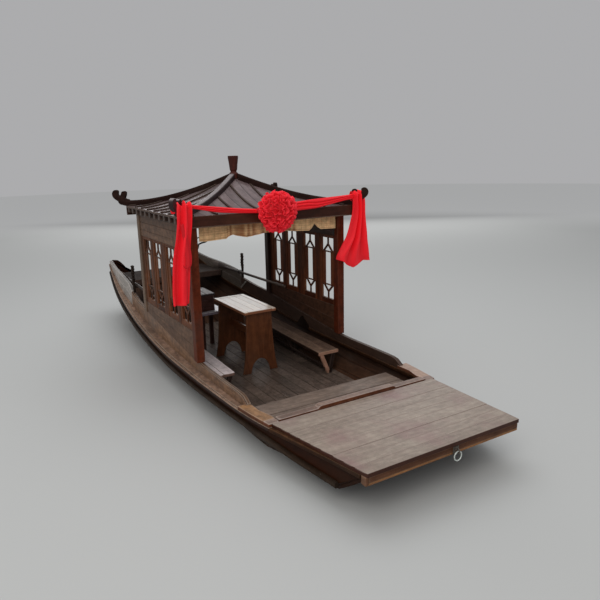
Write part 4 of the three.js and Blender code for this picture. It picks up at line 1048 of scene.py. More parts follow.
@dataclass
class Hull:
    """Planked sides and bottom, the ledges on top, the rubbing strips, the transom and the bow beam."""

    plank: float = 30
    ledge_thick: float = 28
    overhang: float = 35
    gap: float = 0.3
    stern_x: float = -3060
    bow_x: float = 3085
    steps: int = 60
    lower_planks: int = 4
    bottom_planks: int = 6
    strake_width: float = 90
    flare_width: float = 515
    bottom_half: float = 560
    ledge_width: float = 140
    ledge_break: float = 2148
    ledge_end: float = 3099
    ledge_inner: float = 26.5
    bead: float = 26
    rub_end: float = 2880
    rub_out: float = 29.5
    rub_half: float = 22.5
    transom_thick: float = 36
    transom_half: float = 700
    transom_levels: tuple[tuple[float, float], ...] = ((520, 608), (609, 698), (699, 788))
    transom_sides: tuple[tuple[float, float], ...] = ((520, 438), (828, 682), (1008, 648))
    cheek: tuple[tuple[float, float], ...] = (
        (788, 330), (808, 400), (850, 440), (915, 485), (968, 530), (1004, 575), (1008, 640))
    cheek_heights: tuple[float, float] = (789, 1007)
    bow_beam: tuple[float, float] = (3100, 3150)
    bow_span: tuple[float, float] = (-671, 696)
    bow_block: tuple[float, float] = (-696, -672)
    bow_foot: float = 466.5
    bow_strip_top: float = 481.5
    bow_top: float = 529

    def side_place(self, side: Side, upper: bool) -> Place:
        """The side's surface: the upper line plus the share t of the way to the lower one, moved out by n.

        Args:
            side: which side.
            upper: whether it is the strip from the ledge to the knuckle, or the one from there to the bottom.

        Returns:
            The place function.
        """
        def place(s: Array, t: Array, n: Array) -> Triple:
            """Looks the lines up at x = s.

            Args:
                s, t, n: the boards' own three measures.

            Returns:
                x, y and z.
            """
            top_y, top_z = LINES.beam(s) - self.overhang, LINES.sheer(s) - self.ledge_thick - self.gap
            (knee_y, knee_z), (foot_y, foot_z) = LINES.knuckle(s), LINES.chine(s)
            foot_z = foot_z + self.plank + self.gap
            y0, z0, y1, z1 = (top_y, top_z, knee_y, knee_z) if upper else (knee_y, knee_z, foot_y, foot_z)
            share = t / (self.strake_width if upper else self.flare_width)
            dy, dz = y1 - y0, z1 - z0
            size = np.hypot(dy, dz)
            return s, y0 + dy * share - n * dz / size, z0 + dz * share + n * dy / size

        return on_side(place, side)

    def sides(self, side: Side) -> None:
        """The strake under the ledge and the planks below the knuckle.

        Args:
            side: which side.
        """
        ends, shape = (self.stern_x, self.bow_x), Shape(seed=11 + side.sign)
        for upper, rows in ((True, [(0, self.strake_width)]),
                            (False, slices(0, self.flare_width, self.lower_planks, 1.0))):
            shape.boards([(*ends, a, b, -self.plank, 0) for a, b in rows], self.side_place(side, upper),
                         steps=self.steps)
        shape.build(f"hull_planks_{side.word}", HULL_WOOD, replaces=(f"hull_side_{side.word}",))

    def ledge(self, side: Side) -> None:
        """The broad ledge on top of the side, with a bead along its outer edge, and dark inside and at the bow.

        Args:
            side: which side.
        """
        def place(s: Array, t: Array, n: Array) -> Triple:
            """From the ledge's inner edge out to its full breadth."""
            inner, outer = LINES.ledge_inner(s), LINES.beam(s)
            return s, side.sign * (inner + (outer - inner) * t / self.ledge_width), LINES.sheer(s) + n

        bead, thick, start = self.ledge_width - self.bead, self.ledge_thick, (self.stern_x, self.ledge_break)
        flat, edge = (bead - 1, -thick, 0), (bead + 1, self.ledge_width, -thick, -1)
        pale = Shape(seed=21 + side.sign).boards(
            [(*start, self.ledge_inner + 0.5, *flat), (*start, *edge)], place, bevel=3, worn=16, steps=self.steps,
            tones=[0.5, 0.75])
        pale.build(f"ledge_{side.word}", STRAKE_WOOD, replaces=(f"gunwale_ledge_{side.word}",))
        end = (self.ledge_break + 1, self.ledge_end)
        dark = Shape(seed=25 + side.sign).boards(
            [(*start, 0, self.ledge_inner, -thick, -0.5), (*end, 0, *flat), (*end, *edge)], place, bevel=3, worn=3,
            steps=self.steps)
        dark.build(f"ledge_dark_{side.word}", DARK_LEDGE_WOOD)

    def rub_strip(self, side: Side) -> None:
        """A half-round strip along the knuckle: its section is half a squared circle, carried along the line.

        Args:
            side: which side.
        """
        x = np.linspace(self.stern_x, self.rub_end, 70)
        angle = np.linspace(-np.pi / 2, np.pi / 2, 9)
        out = np.append(self.rub_out * np.cos(angle) ** 0.6, self.gap)
        up = np.append(self.rub_half * np.sign(np.sin(angle)) * abs(np.sin(angle)) ** 0.8, 0)
        knee_y, knee_z = LINES.knuckle(x[:, None])
        y = side.sign * (knee_y + self.gap + out)
        grid = np.stack([np.broadcast_to(x[:, None], y.shape), y, knee_z + up], -1)
        worn = np.broadcast_to(np.clip(out / 30, 0, 1) ** 3, y.shape)
        strip = Shape(seed=31 + side.sign).tube(grid, tone=0.8, edge=worn)
        strip.build(f"rub_{side.word}", RUB_WOOD, replaces=(f"rub_strip_{side.word}",))

    def bottom(self) -> None:
        """Bottom planks whose edges follow the hull's own taper."""
        def place(s: Array, t: Array, n: Array) -> Triple:
            """Breadth scaled to the station's bottom edge."""
            half, low = LINES.chine(s)
            return s, t / self.bottom_half * half, low + n

        rows = slices(-self.bottom_half, self.bottom_half, self.bottom_planks, 1.0)
        spans = [(self.stern_x, self.bow_x, a, b, 0, self.plank) for a, b in rows]
        planks = Shape(seed=41).boards(spans, place, steps=self.steps)
        planks.build("bottom_planks", HULL_WOOD, replaces=("hull_bottom",))

    def transom(self) -> None:
        """Three boards athwart between the hull's sides, and a tall cheek above them at each corner."""
        sides, cheek = np.array(self.transom_sides, float), np.array(self.cheek, float)
        ends = (self.stern_x - self.transom_thick, self.stern_x - self.gap)

        def across(s: Array, t: Array, n: Array) -> Triple:
            """Half-breadth from the sides' line at the height t."""
            return n, s / self.transom_half * np.interp(t, sides[:, 0], sides[:, 1]), t

        spans = [(-self.transom_half, self.transom_half, *level, *ends) for level in self.transom_levels]
        shape = Shape(seed=51).boards(spans, across, steps=24)
        z = np.linspace(*self.cheek_heights, 24)
        inner, outer = np.interp(z, cheek[:, 0], cheek[:, 1]), np.interp(z, sides[:, 0], sides[:, 1])
        line = np.concatenate([np.stack([z, outer], -1), np.stack([z, inner], -1)[::-1]])
        for side in Side:
            shape.plaque(line * (1, side.sign), *ends, crosswise)
        shape.build("transom_boards", HULL_WOOD, replaces=("stern_transom",))

    def bow(self) -> None:
        """The beam across the bow with a block at its starboard end, and a lighter strip along its foot."""
        spans = [(*self.bow_span, *self.bow_beam, self.bow_strip_top + 0.5, self.bow_top),
                 (*self.bow_block, *self.bow_beam, self.bow_foot, self.bow_top)]
        beam = Shape(seed=61).boards(spans, athwart, bevel=4, worn=18, steps=10)
        beam.build("bow_cross_beam", BOW_WOOD, replaces=("bow_beam",))
        (y0, y1), (x0, x1) = self.bow_span, self.bow_beam
        span = (y0, y1 - 2, x0, x1 - 1, self.bow_foot, self.bow_strip_top)
        strip = Shape(seed=62).boards([span], athwart, bevel=1.5, steps=10)
        strip.build("bow_foot_strip", BOW_STRIP_WOOD)

    def build(self) -> None:
        """Makes the hull."""
        for side in Side:
            self.sides(side)
            self.ledge(side)
            self.rub_strip(side)
        self.bottom()
        self.transom()
        self.bow()


@dataclass
class Decks:
    """The foredeck, the threshold and its lip, the step plank, the floor boards and the stern deck."""

    rear_x: float = 2148
    front_x: float = 3162
    rear_half: float = 806
    front_half: float = 690
    thick: float = 30
    foredeck_planks: int = 9
    foredeck_line: tuple[tuple[float, float], ...] = (
        (2148, 489), (2472, 503), (2880, 520), (3085, 529), (3162, 531.5))
    beam: tuple[float, float] = (2070.5, 2139.7)
    beam_heights: tuple[float, float] = (430, 527)
    beam_half: float = 733
    lip: tuple[float, float] = (-380, 395)
    lip_rear: float = 2076
    lip_foot: float = 522
    lip_high: float = 24
    lip_fall: float = 20
    step: tuple[float, float] = (1640, 2069.5)
    step_half: float = 699
    step_heights: tuple[float, float] = (412, 438)
    floor_z: float = 207
    floor_thick: float = 24
    floor_ends: tuple[float, float] = (-1700, 2106)
    floor_half: float = 720
    floor_kink: float = 400
    floor_joints: tuple[float, ...] = (-300, 420, 60)
    floor_count: int = 12
    floor_room: tuple[tuple[float, float], ...] = (
        (-1700, 600), (-1200, 655), (-862, 690), (0, 719), (1800, 719), (1900, 712), (2106, 655))
    timber_feet: tuple[tuple[float, float], ...] = ((-1500, 40), (-700, 31), (100, 31), (900, 31), (1700, 76))
    timber_half: float = 35
    timber_reach: float = 478
    stern: tuple[float, float] = (-2849.5, -2185.5)
    stern_top: float = 845
    stern_thick: float = 27
    stern_beam: tuple[float, ...] = (-700, 700, -2224, -2186, 762.5)

    def foredeck(self) -> None:
        """Nine planks athwart, their ends cut to the deck's taper."""
        half = 800

        def place(s: Array, t: Array, n: Array) -> Triple:
            """Breadth scaled to the taper at x = t, on top of the ledge's line.

            Args:
                s, t, n: the boards' own three measures.

            Returns:
                x, y and z.
            """
            share = (t - self.rear_x) / (self.front_x - self.rear_x)
            low = np.interp(t, *np.array(self.foredeck_line).T) + 0.3
            return t, s / half * (self.rear_half + (self.front_half - self.rear_half) * share), low + n

        shape = Shape(seed=101)
        rows = slices(self.rear_x, self.front_x, self.foredeck_planks, 0.4, 0.18, shape.rng)
        spans = [(-half, half, a, b, 0, self.thick - shape.rng.random() * 1.2) for a, b in rows]
        shape.boards(spans, place, bevel=0.8, worn=24, steps=16)
        shape.build("foredeck_planks", DECK_WOOD, replaces=("foredeck",))

    def threshold(self) -> None:
        """The beam behind the foredeck, on it a lip whose ends taper down, and the step behind it."""
        middle, reach = np.mean(self.lip) - 0.5, (self.lip[1] - self.lip[0]) / 2 - 0.5

        def lip(s: Array, t: Array, n: Array) -> Triple:
            """The top falls to the beam at both ends: n times a ramp of the distance to the end."""
            fall = np.clip((reach - abs(s - middle)) / self.lip_fall, 0, 1)
            return t, s, self.lip_foot + n * (0.3 + 0.7 * fall)

        span = (-self.beam_half, self.beam_half, *self.beam, *self.beam_heights)
        shape = Shape(seed=111).boards([span], athwart, bevel=4, worn=16, steps=12)
        shape.boards([(*self.lip, self.lip_rear, self.beam[1], 0, self.lip_high)], lip, bevel=4, worn=14, steps=40,
                     tones=[0.9])
        shape.build("threshold_and_lip", LIP_WOOD, replaces=("threshold_beam",))
        low, top = self.step_heights
        spans = [(-self.step_half, self.step_half, a, b, low, top - 1.5 * i)
                 for i, (a, b) in enumerate(slices(*self.step, 2, 2.5))]
        step = Shape(seed=112).boards(spans, athwart, bevel=3, worn=18, steps=12)
        step.build("step_boards", STEP_WOOD, replaces=("step_plank",))

    def floor(self) -> None:
        """Floor boards fore and aft on five timbers; past the kink they narrow with the hull."""
        kink, half = self.floor_kink, self.floor_half

        def place(s: Array, t: Array, n: Array) -> Triple:
            """y = t up to the kink, and from there on scaled so that the half-breadth comes to the hull's inside.

            Args:
                s, t, n: the boards' own three measures.

            Returns:
                x, y and z.
            """
            room = np.interp(s, *np.array(self.floor_room, float).T)
            far = kink + (abs(t) - kink) * (room - kink) / (half - kink)
            return s, np.where(abs(t) < kink, t, np.sign(t) * far), n

        shape, spans = Shape(seed=121), []
        low = self.floor_z - self.floor_thick
        for i, (a, b) in enumerate(slices(-half, half, self.floor_count, 1.4, 0.12, shape.rng)):
            joint = self.floor_joints[i % 3]
            top = self.floor_z - 2.0 * shape.rng.random()
            spans += [(self.floor_ends[0] + 1, joint - 1, a, b, low, top),
                      (joint + 1, self.floor_ends[1] - 1, a, b, low, top)]
        shape.boards(spans, place, bevel=1.4, worn=20, steps=12)
        wide, reach = self.timber_half, self.timber_reach
        shape.boards([(-reach, reach, x - wide, x + wide, z, low - 0.5) for x, z in self.timber_feet], athwart)
        # Painted shade: the boards' tone falls towards the stern, where the cabin's roof shades the floor.
        shape.tones = [tone * np.clip((p[:, 0] + 900) / 1700, 0, 1) for tone, p in zip(shape.tones, shape.points)]
        shape.build("floor_planks", FLOOR_WOOD, replaces=("floor_boards",))

    def stern_deck(self) -> None:
        """Six planks athwart that stop short of the transom, and the beam under their front edge."""
        half = 720

        def place(s: Array, t: Array, n: Array) -> Triple:
            """Breadth up to the washboards."""
            return t, s / half * (LINES.plan(LINES.WASHBOARD, t) - 28.6), n

        shape = Shape(seed=131)
        rows = slices(*self.stern, 6, 2.2, 0.15, shape.rng)
        low, top = self.stern_top - self.stern_thick, self.stern_top
        shape.boards([(-half, half, a, b, low, top - 1.5 * shape.rng.random()) for a, b in rows], place, steps=10)
        shape.boards([(*self.stern_beam, low - 0.5)], athwart, bevel=4, steps=8)
        shape.build("stern_planks", STERN_WOOD, replaces=("stern_deck",))

    def build(self) -> None:
        """Makes the decks."""
        self.foredeck()
        self.threshold()
        self.floor()
        self.stern_deck()


@dataclass
class StandingBoards:
    """The low coaming and the high stern washboard on each side's ledge."""

    thick: float = 40
    groove: float = 2.5
    high: float = 200
    coaming_ends: tuple[float, float] = (-1599, 1749)
    washboard_ends: tuple[float, float] = (-3058, -1601.5)
    cap_ends: tuple[float, float] = (1715.5, 2074)
    block_ends: tuple[float, float] = (2075.5, 2147.2)

    def strake(self, side: Side, table: Array) -> Place:
        """Where a board stands: on the ledge, along its plan line, up to its top line.

        Args:
            side: which side.
            table: the board's lines.

        Returns:
            The place function: t runs from the ledge, at 0, to the top line, at high.
        """
        def place(s: Array, t: Array, n: Array) -> Triple:
            """Height from the ledge to the top by t's share of high."""
            foot, top = LINES.sheer(s) + 0.3, LINES.crest(table, s)
            return s, side.sign * (LINES.plan(table, s) + n), foot + np.maximum(top - foot, 6) * t / self.high

        return place

    def coaming(self, side: Side) -> None:
        """Two boards side by side with a groove between them, and a cap and a block on the ledge before them.

        Args:
            side: which side.
        """
        half, ends = self.thick / 2, self.coaming_ends
        boards = Shape(seed=141 + side.sign).boards(
            [(*ends, 0, self.high, -half, 6), (*ends, 0, self.high - 6, 6 + self.groove, half)],
            self.strake(side, LINES.COAMING), bevel=4, worn=12, steps=60, tones=[0.7, 0.45])
        boards.build(f"coaming_cap_{side.word}", COAMINGS[side], replaces=(f"coaming_{side.word}",))

        def flat(s: Array, t: Array, n: Array) -> Triple:
            """From the coaming's inner face or the threshold's end to the ledge's edge by t of 100, and n of 20 up.

            Args:
                s, t, n: the boards' own three measures.

            Returns:
                x, y and z.
            """
            foot, outer = LINES.sheer(s) + 0.4, LINES.beam(s) - 4.2
            inner = np.interp(s, [1880, 2010], [774.2, 740])
            return s, side.sign * (inner + (outer - inner) * t / 100), foot + (516.8 - foot) * n / 20

        cap = Shape(seed=145 + side.sign).boards([(*self.cap_ends, 0, 100, 0, 20)], flat, bevel=3, worn=14, steps=20)
        cap.build(f"deck_end_cap_{side.word}", CAPS[side])
        block = Shape(seed=147 + side.sign).boards([(*self.block_ends, 0, 100, 0, 20.4)], flat, bevel=3, worn=14,
                                                   steps=4)
        block.build(f"deck_end_block_{side.word}", LIP_WOOD, slot="wall_wood")

    def washboard(self, side: Side) -> None:
        """Two boards one above the other, the upper one's front end rounded down by the top line.

        Args:
            side: which side.
        """
        half, seam = self.thick / 2, 96
        spans = [(*self.washboard_ends, a, b, -half, half) for a, b in ((0, seam), (seam + self.groove, self.high))]
        boards = Shape(seed=151 + side.sign).boards(spans, self.strake(side, LINES.WASHBOARD), bevel=4, worn=16,
                                                    steps=40)
        boards.build(f"washboard_planks_{side.word}", WASHBOARDS[side], replaces=(f"washboard_{side.word}",))

    def build(self) -> None:
        """Makes both on both sides."""
        for side in Side:
            self.coaming(side)
            self.washboard(side)


# ---- cabin ----


@dataclass
class Cabin:
    """Four posts on the coaming, two window walls between them, and the beams and boards on top."""

    post: float = 80
    out: float = 843
    front_x: float = 760
    rear_x: float = -874
    top: float = 1857
    sill: float = 868
    head: float = 1626
    wall: tuple[float, float] = (797, 831)
    ends: tuple[float, float] = (-793.7, 679.7)
    leaf_mids: tuple[float, ...] = (-600, -258, 143, 508)
    opening_half: float = 114
    slot_half: float = 50
    stile: float = 33
    foot: float = 928
    opening_top: float = 1595
    slot_foot: float = 1086
    rail: float = 14
    broad: tuple[float, float] = (801, 827)
    thin: tuple[float, float] = (806, 822)
    strip: tuple[float, float] = (809, 819)
    beam_heights: tuple[float, float] = (1850, 1932.7)
    fork_stem: float = 66
    post_long: float = 1200
    panel_high: float = 250
    panel_seam: float = 118
    eave_half: float = 926
    eave_x: tuple[float, float] = (805.3, -947.3)
    eave_heights: tuple[float, float] = (1861, 1955)
    eave_thick: float = 28

    def post_span(self, end: End) -> tuple[float, float]:
        """x of a post's rear and front face."""
        x = self.front_x - self.post if end is End.FRONT else self.rear_x
        return x, x + self.post

    def posts(self, side: Side) -> None:
        """A square post at each end of the wall, its foot cut to the coaming's slope.

        Args:
            side: which side.
        """
        long = self.post_long

        def place(s: Array, t: Array, n: Array) -> Triple:
            """s runs from the foot, at 0, to the top, at the full length, whatever the foot's height."""
            foot = LINES.crest(LINES.COAMING, t) + 0.4
            return t, side.sign * n, foot + (self.top - foot) * s / long

        for end in End:
            timber = Shape(seed=201 + side.sign + len(end.word)).boards(
                [(0, long, *self.post_span(end), self.out - self.post, self.out)], place, bevel=4, worn=15, steps=12)
            timber.build(f"post_{end.word}_{side.word}_timber", POST_WOOD if end is End.FRONT else REAR_POSTS[side],
                         replaces=(f"post_{end.word}_{side.word}",))

    def lower_panel(self, side: Side) -> None:
        """Two planks from the coaming's slope up to the sill.

        Args:
            side: which side.
        """
        high, seam = self.panel_high, self.panel_seam

        def place(s: Array, t: Array, n: Array) -> Triple:
            """t runs from the foot, at 0, to the sill, at the full height."""
            foot = LINES.crest(LINES.COAMING, s) + 0.4
            return s, side.sign * n, foot + (self.sill - foot) * t / high

        spans = [(*self.ends, a, b, *self.wall) for a, b in ((0, seam), (seam + 0.4, high))]
        planks = Shape(seed=211 + side.sign).boards(spans, place, worn=12, steps=30)
        planks.build(f"lower_planks_{side.word}", WALL_WOOD, replaces=(f"lower_panel_{side.word}",))

    def leaf(self, shape: Shape, side: Side, mid: float) -> None:
        """One window leaf: its rails, the strips beside the slot, and a fork at the head and the foot.

        Args:
            shape: the wall's frames, which the leaf is added to.
            side: the wall's side.
            mid: x of the leaf's middle.
        """
        along, up = on_side(standing, side), on_side(upright, side)
        x0, x1 = mid - self.opening_half, mid + self.opening_half
        slot = (self.slot_foot, self.foot + self.opening_top - self.slot_foot)
        rails = ((self.sill + 0.4, self.foot), (self.opening_top, self.head))
        shape.boards([(x0, x1, *rail, *self.broad) for rail in rails], along, bevel=2, worn=7)
        strips = ((slot[0] - self.rail, slot[0]), (slot[1], slot[1] + self.rail))
        shape.boards([(x0, x1, *strip, *self.thin) for strip in strips], along, bevel=1.6, worn=4, tones=[0.3])
        shape.boards([(*slot, a, b, *self.strip) for a, b in ((x0, mid - self.slot_half), (mid + self.slot_half, x1))],
                     up, bevel=1.6, worn=5, tones=[0.85, 0.8])
        for low, turn in ((self.foot, 1), (self.opening_top, -1)):
            stem = sorted((low, low + turn * self.fork_stem))
            shape.boards([(*stem, mid - 8, mid + 8, *self.thin)], up, bevel=1.6, worn=4, tones=[0.2])
            for lean in (-1, 1):
                start, end = (mid - 2 * lean, 0, low + turn * 70), (mid + 86 * lean, 0, low + turn * 152)
                middle = side.sign * np.mean(self.strip)
                shape.boards([(0, math.dist(start, end), -12, 12, middle - 5.5, middle + 5.5)],
                             bar_between(start, end, (0, 1, 0)), bevel=1.6, worn=4, tones=[0.25])

    def windows(self, side: Side) -> None:
        """Four leaves, each leaf's own stiles, and the mullions between them, which stand proud.

        Args:
            side: which side.
        """
        shape, up, span = Shape(seed=221 + side.sign), on_side(upright, side), (self.sill + 0.4, self.head)
        marks = [self.ends[0]]
        for mid in self.leaf_mids:
            self.leaf(shape, side, mid)
            x0, x1 = mid - self.opening_half, mid + self.opening_half
            stiles = ((x0 - self.stile, x0), (x1, x1 + self.stile))
            shape.boards([(*span, *stile, *self.broad) for stile in stiles], up, bevel=2, worn=7, steps=4,
                         tones=[0.75, 0.65])
            marks += [x0 - self.stile, x1 + self.stile]
        marks.append(self.ends[1])
        for a, b in zip(marks[0::2], marks[1::2]):
            rows = slices(a + 0.2, b - 0.2, 2 if b - a > 100 else 1, 0.6)
            shape.boards([(*span, p, q, *self.wall) for p, q in rows], up, bevel=3, worn=10, steps=6, tones=[0.15, 0.3])
        shape.build(f"window_frames_{side.word}", LEAF_WOOD, replaces=(f"window_leaves_{side.word}",))

    def frieze(self, side: Side) -> None:
        """Three planks over the windows.

        Args:
            side: which side.
        """
        shape = Shape(seed=231 + side.sign)
        rows = slices(self.head + 0.4, self.top - 0.2, 3, 0.4, 0.2, shape.rng)
        shape.boards([(*self.ends, a, b, *self.wall) for a, b in rows], on_side(standing, side), bevel=3, worn=12,
                     steps=12)
        shape.build(f"frieze_planks_{side.word}", WALL_WOOD, replaces=(f"frieze_panel_{side.word}",))

    def beam(self, end: End) -> None:
        """A cross beam between the posts' heads.

        Args:
            end: which end.
        """
        inner = self.out - self.post - 0.3
        beam = Shape(seed=241 + len(end.word)).boards([(-inner, inner, *self.post_span(end), *self.beam_heights)],
                                                      athwart, bevel=4, worn=14, steps=12)
        beam.build(f"cross_beam_{end.word}", DARK_WOOD, replaces=(f"beam_{end.word}",))

    def brackets(self) -> None:
        """The front beam's scrolled iron-black brackets: four bars each, drawn as distance from the post and height."""
        bars = (
            ([(4, 1642), (20, 1656), (30, 1690), (60, 1700), (95, 1706), (125, 1722), (150, 1742), (185, 1750),
              (215, 1754), (245, 1768), (258, 1786), (256, 1806), (244, 1822), (240, 1850)], 7.5),
            ([(96, 1848), (98, 1800), (92, 1760), (98, 1732), (104, 1712)], 6),
            ([(8, 1740), (30, 1752), (52, 1748), (60, 1730), (50, 1716), (38, 1722)], 5),
            ([(7, 1642), (7, 1740), (7, 1850)], 7))
        inner, shape = self.out - self.post - 0.3, Shape(seed=251)
        for side in Side:
            for line, radius in bars:
                y, z = drawn(np.array(line, float), 8 * len(line))
                path = np.stack([np.full_like(y, self.post_span(End.FRONT)[0] + 22), side.sign * (inner - y), z], -1)
                shape.pipe(path, radius, sides=8)
        shape.build("beam_brackets", BLACK_IRON)

    def fascia(self, end: End) -> None:
        """An eave board with a light strip along its lower edge.

        Args:
            end: which end.
        """
        x = self.eave_x[end is End.REAR]
        half, (low, high), span = self.eave_half, self.eave_heights, (x, x + self.eave_thick)
        board = Shape(seed=261 + len(end.word)).boards([(-half, half, low, high, *span)], facing, bevel=3, worn=16,
                                                       steps=14)
        board.build(f"eave_board_{end.word}", FASCIA_WOOD, replaces=(f"fascia_{end.word}",))
        strip = Shape(seed=263 + len(end.word)).boards(
            [(1 - half, half - 1, low - 9.5, low - 0.5, *span)], facing, bevel=2, worn=4, steps=14)
        strip.build(f"eave_strip_{end.word}", STEP_WOOD, slot="dark_wood")

    def build(self) -> None:
        """Makes the cabin."""
        for side in Side:
            self.posts(side)
            self.lower_panel(side)
            self.windows(side)
            self.frieze(side)
        for end in End:
            self.beam(end)
        self.brackets()
        for end in End:
            self.fascia(end)


# ---- roof ----


@dataclass
class Roof:
    """Four hollow-curved planes of boards and battens, rafter ends, hip ridges with scrolls, and the finial."""

    eave_z: float = 1955
    rise: float = 300
    sag: float = 1.7
    thick: float = 22
    mid_x: float = -57
    half_x: float = 862
    half_y: float = 926
    battens: int = 8
    last_s: float = 0.96
    rafters: int = 12
    rafter_half: float = 24
    rafter_reach: tuple[float, float] = (824, 918)
    rafter_heights: tuple[float, float] = (1881, 1932.4)
    wall_beam: tuple[float, ...] = (-907, 793, 1857.4, 1932.6, 763.2, 842.8)  # along, up and athwart, each from and to
    nail_strip: tuple[float, ...] = (-914, 800, 1936, 1952, 926.4, 932)
    batten_half: float = 10
    batten_heights: tuple[float, float] = (-2, 14)
    batten_stop: float = 50
    ridge_high: float = 50
    ridge_half: float = 30
    cloud_half: float = 20.5
    cloud: tuple[tuple[float, float], ...] = (
        (-40, 1966), (34, 1963), (64, 1969), (84, 1985), (92, 2004), (110, 2015), (132, 2031), (151, 2055), (157, 2086),
        (143, 2116), (113, 2128), (86, 2115), (88, 2082), (72, 2061), (49, 2084), (40, 2105), (14, 2115), (-9, 2103),
        (-7, 2070), (4, 2036), (-40, 2018))

    def top(self, s: Array) -> Array:
        """Height of the surface: eave + rise s^sag."""
        return self.eave_z + self.rise * np.maximum(s, 0) ** self.sag

    def plane_place(self, along_x: bool, sign: int, spare: float) -> Place:
        """A plane's boards: s, from 0 to 1000, runs from the eave up to the hip above the place t across.

        Args:
            along_x: whether the plane faces the bow or the stern.
            sign: which way it faces.
            spare: how far short of the hip the boards end.

        Returns:
            The place function.
        """
        half, run = (self.half_y, self.half_x) if along_x else (self.half_x, self.half_y)

        def place(s: Array, t: Array, n: Array) -> Triple:
            """The share up the slope is s / 1000 of the room at t: 1 - |t| / half.

            Args:
                s, t, n: the boards' own three measures.

            Returns:
                x, y and z.
            """
            room = np.minimum(1 - (abs(t) + spare) / half, self.last_s)
            up = np.clip(s / 1000, 0, 1) * room
            far, z = sign * run * (1 - up), self.top(up) + n
            return (self.mid_x + far, t, z) if along_x else (self.mid_x + t, far, z)

        return place

    def plane(self, word: str, along_x: bool, sign: int) -> None:
        """Boards up the slope, two to most of the battens' spaces, and a batten over every other seam.

        Args:
            word: the plane's word in names.
            along_x: whether the plane faces the bow or the stern.
            sign: which way it faces.
        """
        half = self.half_y if along_x else self.half_x
        seams = half * (-1 + 2 * (np.arange(self.battens) + 0.5) / self.battens)
        marks, spans, shape = [-half + 3, *seams, half - 3], [], Shape(seed=301 + len(word))
        for a, b in zip(marks[:-1], marks[1:]):
            halves = [(a, (a + b) / 2), ((a + b) / 2, b)] if b - a > 150 else [(a, b)]
            spans += [(0, 1000, p + 0.5, q - 0.5, -self.thick, -0.6 * shape.rng.random()) for p, q in halves]
        shape.boards(spans, self.plane_place(along_x, sign, 1.5), bevel=1.8, worn=14, steps=14)
        shape.build(f"roof_boards_{word}", ROOF_WOOD, replaces=(f"roof_panel_{word}",))
        spans = [(0, 1000, x - self.batten_half, x + self.batten_half, *self.batten_heights) for x in seams]
        battens = Shape(seed=311 + len(word)).boards(
            spans, self.plane_place(along_x, sign, self.batten_stop), bevel=4, worn=5, steps=14)
        battens.build(f"roof_battens_{word}", DARK_WOOD, slot="roof_wood")

    def eave(self, side: Side) -> None:
        """The beam along the wall's head, with square rafter ends that show under the eave, and a nailing strip.

        Args:
            side: which side.
        """
        along, out = on_side(standing, side), on_side(athwart, side)
        beam = Shape(seed=321 + side.sign).boards([self.wall_beam], along, bevel=4, worn=12, steps=10)
        middles = self.mid_x + np.linspace(-self.half_x + 30, self.half_x - 30, self.rafters)
        half = self.rafter_half
        spans = [(*self.rafter_reach, x - half, x + half, *self.rafter_heights) for x in middles]
        tails = Shape(seed=323 + side.sign).boards(spans, out, bevel=3, worn=12)
        beam.build(f"eave_beam_{side.word}_timber", DARK_WOOD, replaces=(f"eave_beam_{side.word}",), slot="wall_wood")
        tails.build(f"rafter_ends_{side.word}", RAFTER_WOOD)
        strip = Shape(seed=325 + side.sign).boards([self.nail_strip], along, bevel=1.5, worn=5, steps=10)
        strip.build(f"eave_strip_{side.word}", STEP_WOOD, slot="roof_wood")

    def ridge(self, end: End, side: Side) -> None:
        """A ridge down the hip and a little past the corner, where a board cut as a cloud stands on its end.

        d is the distance past the corner in the hip's own direction, and z the height. The section is
        a flat-bottomed arch: width w, foot at low and crown at low + tall.

        Args:
            end: the roof's end that the ridge runs to.
            side: the corner's side.
        """
        run = np.array([end.sign * self.half_x, side.sign * self.half_y])
        long = np.linalg.norm(run)
        ahead, across = run / long, np.array([-run[1], run[0]]) / long
        corner = np.array([self.mid_x, 0]) + run

        def put(d: Array, w: Array, z: Array) -> Array:
            """The point at d past the corner, w to the side, at height z."""
            return np.concatenate([corner + d[..., None] * ahead + w[..., None] * across, z[..., None]], -1)

        s = np.linspace(0.9608, 0.0, 28)
        low = np.concatenate([self.top(s) + 0.5, [1960, 1963]])
        d = np.concatenate([-s * long, [16, 30]])
        tall = np.concatenate([self.ridge_high + 10 * (1 - s) ** 6, [61, 60]])
        half = np.concatenate([np.full_like(s, self.ridge_half), [29, 27]])
        drop = np.concatenate([np.clip(s * 60, 0, 14), [0, 0]])
        arch = np.array([(-1, 0), (-1, 0.5), (-0.95, 0.8), (-0.78, 0.94), (-0.4, 0.99), (0, 1), (0.4, 0.99),
                         (0.78, 0.94), (0.95, 0.8), (1, 0.5), (1, 0), (0, 0)])
        sunk = (abs(arch[:, 0]) == 1) * (arch[:, 1] == 0)
        z = low[:, None] + tall[:, None] * arch[:, 1] - drop[:, None] * sunk
        w = half[:, None] * arch[:, 0]
        # The crown gets the worn colour: partly real wear, partly a painted sheen along the ridge's top.
        wear = np.broadcast_to(np.clip(arch[:, 1] * 1.4 - 0.6, 0, 1), w.shape)
        shape = Shape(seed=331 + end.sign + 2 * side.sign)
        shape.tube(put(np.broadcast_to(d[:, None], w.shape), w, z), tone=0.4, edge=wear)
        corners = np.array(self.cloud, float)
        at = np.arange(-2, len(corners) + 3, dtype=float)
        wrapped = corners[np.mod(at.astype(int), len(corners))]
        line = np.stack([fair(at, column, np.arange(len(corners) * 6) / 6) for column in wrapped.T], -1)

        def board(s: Array, t: Array, n: Array) -> Triple:
            """The cloud board stands in the hip's own upright plane."""
            return tuple(np.moveaxis(put(s, n, t), -1, 0))

